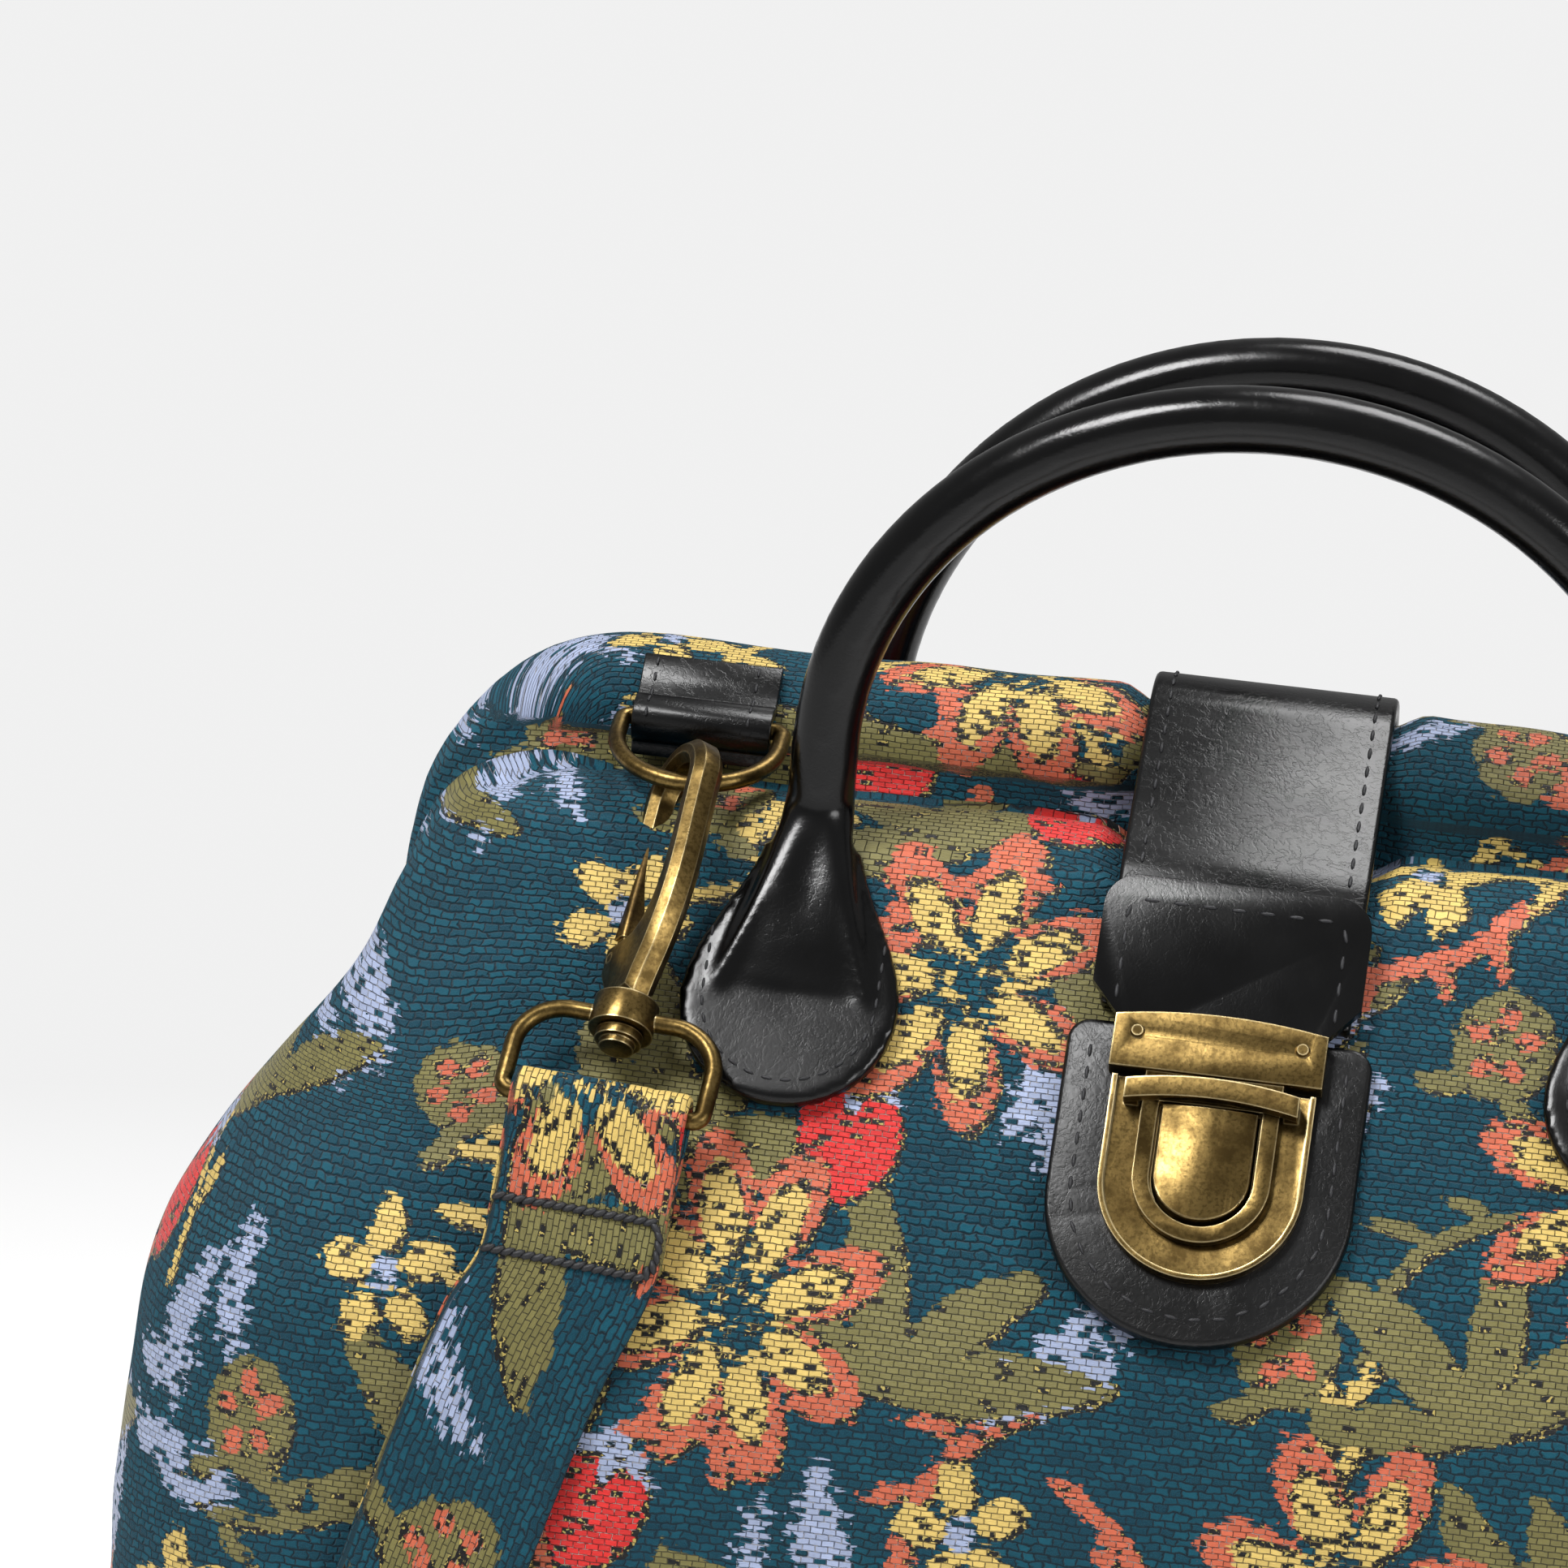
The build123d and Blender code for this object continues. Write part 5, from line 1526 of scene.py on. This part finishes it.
def neck_flare(seat, x, steps=14, sides=28):
    """The neck's spread from the round tube to the flat tab, with a dent down its middle."""
    top = seat.middle + Vector((x, 0, 0))
    end = seat.spot(x, NECK_END[0], SEAT + TAB_T * 0.55) / MM
    rings = []
    for k in range(steps + 1):
        t = k / steps
        half_w = HANDLE_R + (TAB_W / 2 - 3.0 - HANDLE_R) * t**1.7
        half_h = HANDLE_R * (1 - t) ** 1.3 + 1.7 * t
        foot = top * (1 - t) + end * t
        foot += seat.out * (1.2 * sin(pi * t))
        across = (seat.rise * (1 - t) + seat.up * t).normalized().cross(Vector((1, 0, 0)))
        across = -across if across.dot(seat.out) < 0 else across
        ring = []
        for a in [2 * pi * j / sides for j in range(sides)]:
            dent = 1 - 0.42 * sin(pi * min(t * 1.25, 1.0)) * max(sin(a), 0) ** 6
            point = foot + Vector((half_w * cos(a), 0, 0)) + across * (half_h * sin(a) * dent)
            ring.append(point * MM)
        rings.append(ring)
    return bridge_rings(rings)


def tab_outline(steps=12):
    """Half outline of a tab, from its top to its tip: x and how far down."""
    radius = TAB_W / 2
    points = []
    for k in range(steps + 1):
        t = k / steps
        wide = NECK_W + (radius - NECK_W) * (t * t * (3 - 2 * t)) ** 0.8
        points.append((wide, -2 + t * (TAB_END - radius + 2)))
    for k in range(1, steps + 1):
        turn = pi / 2 * k / steps
        points.append((radius * cos(turn), TAB_END - radius + radius * sin(turn)))
    return points


def tab_plate(seat, x):
    outline = tab_outline()
    loop = outline + [(-w, down) for w, down in reversed(outline[:-1])]
    faces = [[seat.spot(x + w, down, off) for w, down in loop] for off in (SEAT, TAB_FACE)]
    return bridge_rings(faces)


def neck_fold(seat, x, edge, steps=11):
    """A fold of leather that runs from the neck down one side of the tab and dies out there."""
    top_off = (seat.middle + Vector((x, 0, 0)) - seat.origin).dot(seat.out)
    path, radii = [], []
    for k in range(steps + 1):
        t = k / steps
        across = edge * (3.2 + 10.0 * t**1.5)
        down = -(seat.level + seat.drop) * (1 - t) + NECK_END[1] * t
        off = top_off * (1 - t) ** 0.9 + (SEAT + TAB_T * 0.62) * t + 0.9 * sin(pi * t)
        path.append(seat.spot(x + across, down, off) / MM)
        radii.append(3.0 - 1.7 * k / steps)
    return tube_form(path, radii, 12)


def make_handle(node, seat, taller):
    forms = [arch_tube(seat, taller)]
    for x in (-HANDLE_X, HANDLE_X):
        forms += [neck_flare(seat, x), tab_plate(seat, x)]
        forms += [neck_fold(seat, x, edge) for edge in (-1, 1)]
    piece = join_forms(node + "_look", forms)
    remesh_smooth(piece, 0.85, 9)
    piece.data.materials.append(smooth_leather)
    print(node, len(piece.data.polygons), "faces")
    return finish_piece(piece, "bag", "black_leather", node)


front_seat = HandleSeat(SLOPE_ORIGIN, SLOPE_UP, SLOPE_OUT, lean=5.5, drop=0.0, stand=0.0)
back_seat = HandleSeat(BACK_ORIGIN, BACK_UP, BACK_OUT, lean=0.0, drop=32.0, stand=2.4)
make_handle("handle_front", front_seat, 2.6)
make_handle("handle_back", back_seat, 6.5)

# %% [markdown]
# The leather is sewn with thick black thread. Flat seams are written down as paths on the slope.
# For the curved strap and ring tabs, rays from outside find where the leather is.

# %% Leather stitches
def curved_row(piece, x, centre, start, end, lift=0.05):
    """Points where a curved strip's face is met, at one x, between two angles round a centre."""
    bvh = BVHTree.FromPolygons(
        [v.co / MM for v in piece.data.vertices], [tuple(p.vertices) for p in piece.data.polygons]
    )
    path, outs = [], []
    for turn in np.linspace(radians(start), radians(end), 160):
        way = Vector((0, cos(turn), sin(turn)))
        hit, face_out, _, _ = bvh.ray_cast(Vector((x, *centre)) + way * 150, -way)
        if hit is not None:
            path.append(hit + face_out * lift)
            outs.append(face_out)
    return path, outs


def slope_row(points, off):
    return [on_slope(x, down, off) for x, down in points], [SLOPE_OUT]


def round_row(half, top, low, corner, steps=10):
    """Down one side, round the end and up the other, in slope places."""
    points = [(-half, top), (-half, low)]
    for k in range(steps + 1):
        turn = pi - pi * k / steps
        points.append((corner * cos(turn), low + corner * sin(turn)))
    return points + [(half, low), (half, top)]


STRAP_SEAM = 17.6  # from the middle of the closing strap to its seams
FLAP_SEAM, FLAP_TOP, FLAP_LOW, FLAP_CORNER = 18.3, 4.2, 21.0, 2.6
PATCH_SEAM = 21.4
TAB_SEAM = TAB_W / 2 - 3.9
TAB_MIDDLE = TAB_END - TAB_W / 2
RING_X = 96.0


def sew(name, rows, pitch, length, thickness):
    piece = stitch_rows(name, rows, pitch, length, thickness, black_thread)
    finish_piece(piece, "bag", "black_leather")


strap_look = leather_looks["closure_strap"]
strap_rows = [curved_row(strap_look, x, STRAP_CENTRE, 20, 139) for x in (-STRAP_SEAM, STRAP_SEAM)]
corner = FLAP_SEAM - FLAP_CORNER
flap_path = [(-FLAP_SEAM, FLAP_LOW), (-FLAP_SEAM, FLAP_TOP)]
flap_path += [
    (-corner - FLAP_CORNER * cos(a), FLAP_TOP - FLAP_CORNER * sin(a)) for a in (0.5, 1.0, 1.57)
]
flap_path += [
    (corner + FLAP_CORNER * sin(a), FLAP_TOP - FLAP_CORNER * cos(a)) for a in (0.0, 0.5, 1.0)
]
flap_path += [(FLAP_SEAM, FLAP_TOP), (FLAP_SEAM, FLAP_LOW)]
patch_path = round_row(PATCH_SEAM, 27, 53.2, PATCH_SEAM)
tab_path = round_row(TAB_SEAM, 14, TAB_MIDDLE, TAB_SEAM, 14)
tab_rows = [
    slope_row([(x + px, down) for px, down in tab_path], TAB_FACE) for x in (-HANDLE_X, HANDLE_X)
]
ring_rows = [
    curved_row(leather_looks[node], side * RING_X + inset, (5, 236), 75, 170)
    for side, node in ((-1, "ring_tab_left"), (1, "ring_tab_right"))
    for inset in (-9.6, 8.0)
]
sew("strap_stitches", strap_rows, 4.1, 2.6, 0.75)
sew("flap_stitches", [slope_row(flap_path, 5.85)], 4.6, 2.8, 0.75)
sew("patch_stitches", [slope_row(patch_path, 3.75)], 3.9, 2.6, 0.75)
sew("handle_tab_stitches", tab_rows, 3.1, 2.1, 0.62)
sew("ring_tab_stitches", ring_rows, 3.0, 2.0, 0.6)
print("stitches made")

# %% [markdown]
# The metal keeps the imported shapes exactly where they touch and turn, with small rounded edges that
# catch the light. The pieces inside the bag get plain finishes.

# %% Hardware
for side in ("left", "right"):
    rounded_copy("clip_hook_" + side, "hook_" + side, "antique_brass", brass, 0.35)
    rounded_copy("clip_eye_" + side, "clip_" + side, "antique_brass", brass, 0.25)
    rounded_copy("clip_gate_" + side, "gate_" + side, "antique_brass", dark_brass, 0.2)
rounded_copy("lock_plate", "bag", "antique_brass", brass, 0.3)
rounded_copy("lock_catch", "bag", "antique_brass", brass, 0.35)
rounded_copy("lock_button", "button", "antique_brass", brass, 0.3)

press_way = Vector((0, 0.819152, -0.573576))
spring = merged_copy("button_spring_look", "button_spring")
paint(spring, steel)
shade_by_angle(spring)
finish_piece(spring, "bag", "steel", "button_spring")
spring_floor = max((v.co for v in spring.data.vertices), key=lambda co: co.dot(press_way)).copy()
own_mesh(spring)

plain_finishes = {
    brass: ("d_ring_left", "d_ring_right", "catch_rivets", "gate_pin_left", "gate_pin_right")
    + tuple(n for n in nodes if n.startswith("foot_")),
    steel: ("frame_front", "frame_back", "hinge_rivet_left", "hinge_rivet_right"),
    lining_cloth: ("lining",),
    board_fibre: ("base_board",),
}
for material, names in plain_finishes.items():
    for name in names:
        paint(nodes[name], material)
print("hardware made")

# %% [markdown]
# A pale floor and wide soft lights give the even light of a studio. The camera sees a plain
# near-white instead of the world's soft light, so the floor meets the background without an edge.

# %% Floor and light
BACKGROUND = colour(240, 240, 240)
FLOOR_HALF = 6.0  # metres
AIM = (0, 0, 0.15)  # the middle of the bag


def area_light(name, place, aim, size, watts):
    data = bpy.data.lights.new(name, "AREA")
    data.shape = "DISK"
    data.size = size
    data.energy = watts
    light = add_object(name, data)
    light.location = place
    light.rotation_euler = (Vector(aim) - Vector(place)).to_track_quat("-Z", "Y").to_euler()


def floor_material():
    """Pale near the bag, and past it a plain colour that meets the background."""
    tree = material_tree("studio_floor")
    away = tree.add("VectorMath", {0: tree.place()}, operation="LENGTH").outputs["Value"]
    near = tree.add("BsdfDiffuse", {"Color": colour(238, 238, 238)})
    far = tree.add("Emission", {"Color": BACKGROUND})
    return tree.finish(tree.add("MixShader", {0: tree.between(away, 0.3, 0.75), 1: near, 2: far}))


def studio_world():
    """A soft white light that the camera sees as the plain background."""
    tree = Tree(bpy.data.worlds.new("studio"), "OutputWorld")
    rays = tree.add("LightPath").outputs
    seen = tree.math("MAXIMUM", rays["Is Camera Ray"], rays["Is Transmission Ray"])
    plain = tree.add("Background", {"Color": BACKGROUND})
    soft = tree.add("Background", {"Color": (1.0, 1.0, 1.0, 1.0), "Strength": 0.3})
    return tree.finish(tree.add("MixShader", {0: seen, 1: soft, 2: plain}))


corners = ((-1, -1), (1, -1), (1, 1), (-1, 1))
floor_corners = [(x * FLOOR_HALF, y * FLOOR_HALF, 0) for x, y in corners]
floor = new_object("floor", floor_corners, [(0, 1, 2, 3)], smooth=False)
floor.data.materials.append(floor_material())

area_light("key", (-0.9, -1.0, 1.9), AIM, 0.8, 46.0)
area_light("top", (0.3, 0.5, 2.1), AIM, 1.0, 26.0)
area_light("fill", (1.5, -1.3, 0.9), AIM, 1.0, 18.0)
bpy.context.scene.world = studio_world()
bpy.context.scene.view_settings.view_transform = "Standard"
print("floor and lights made")
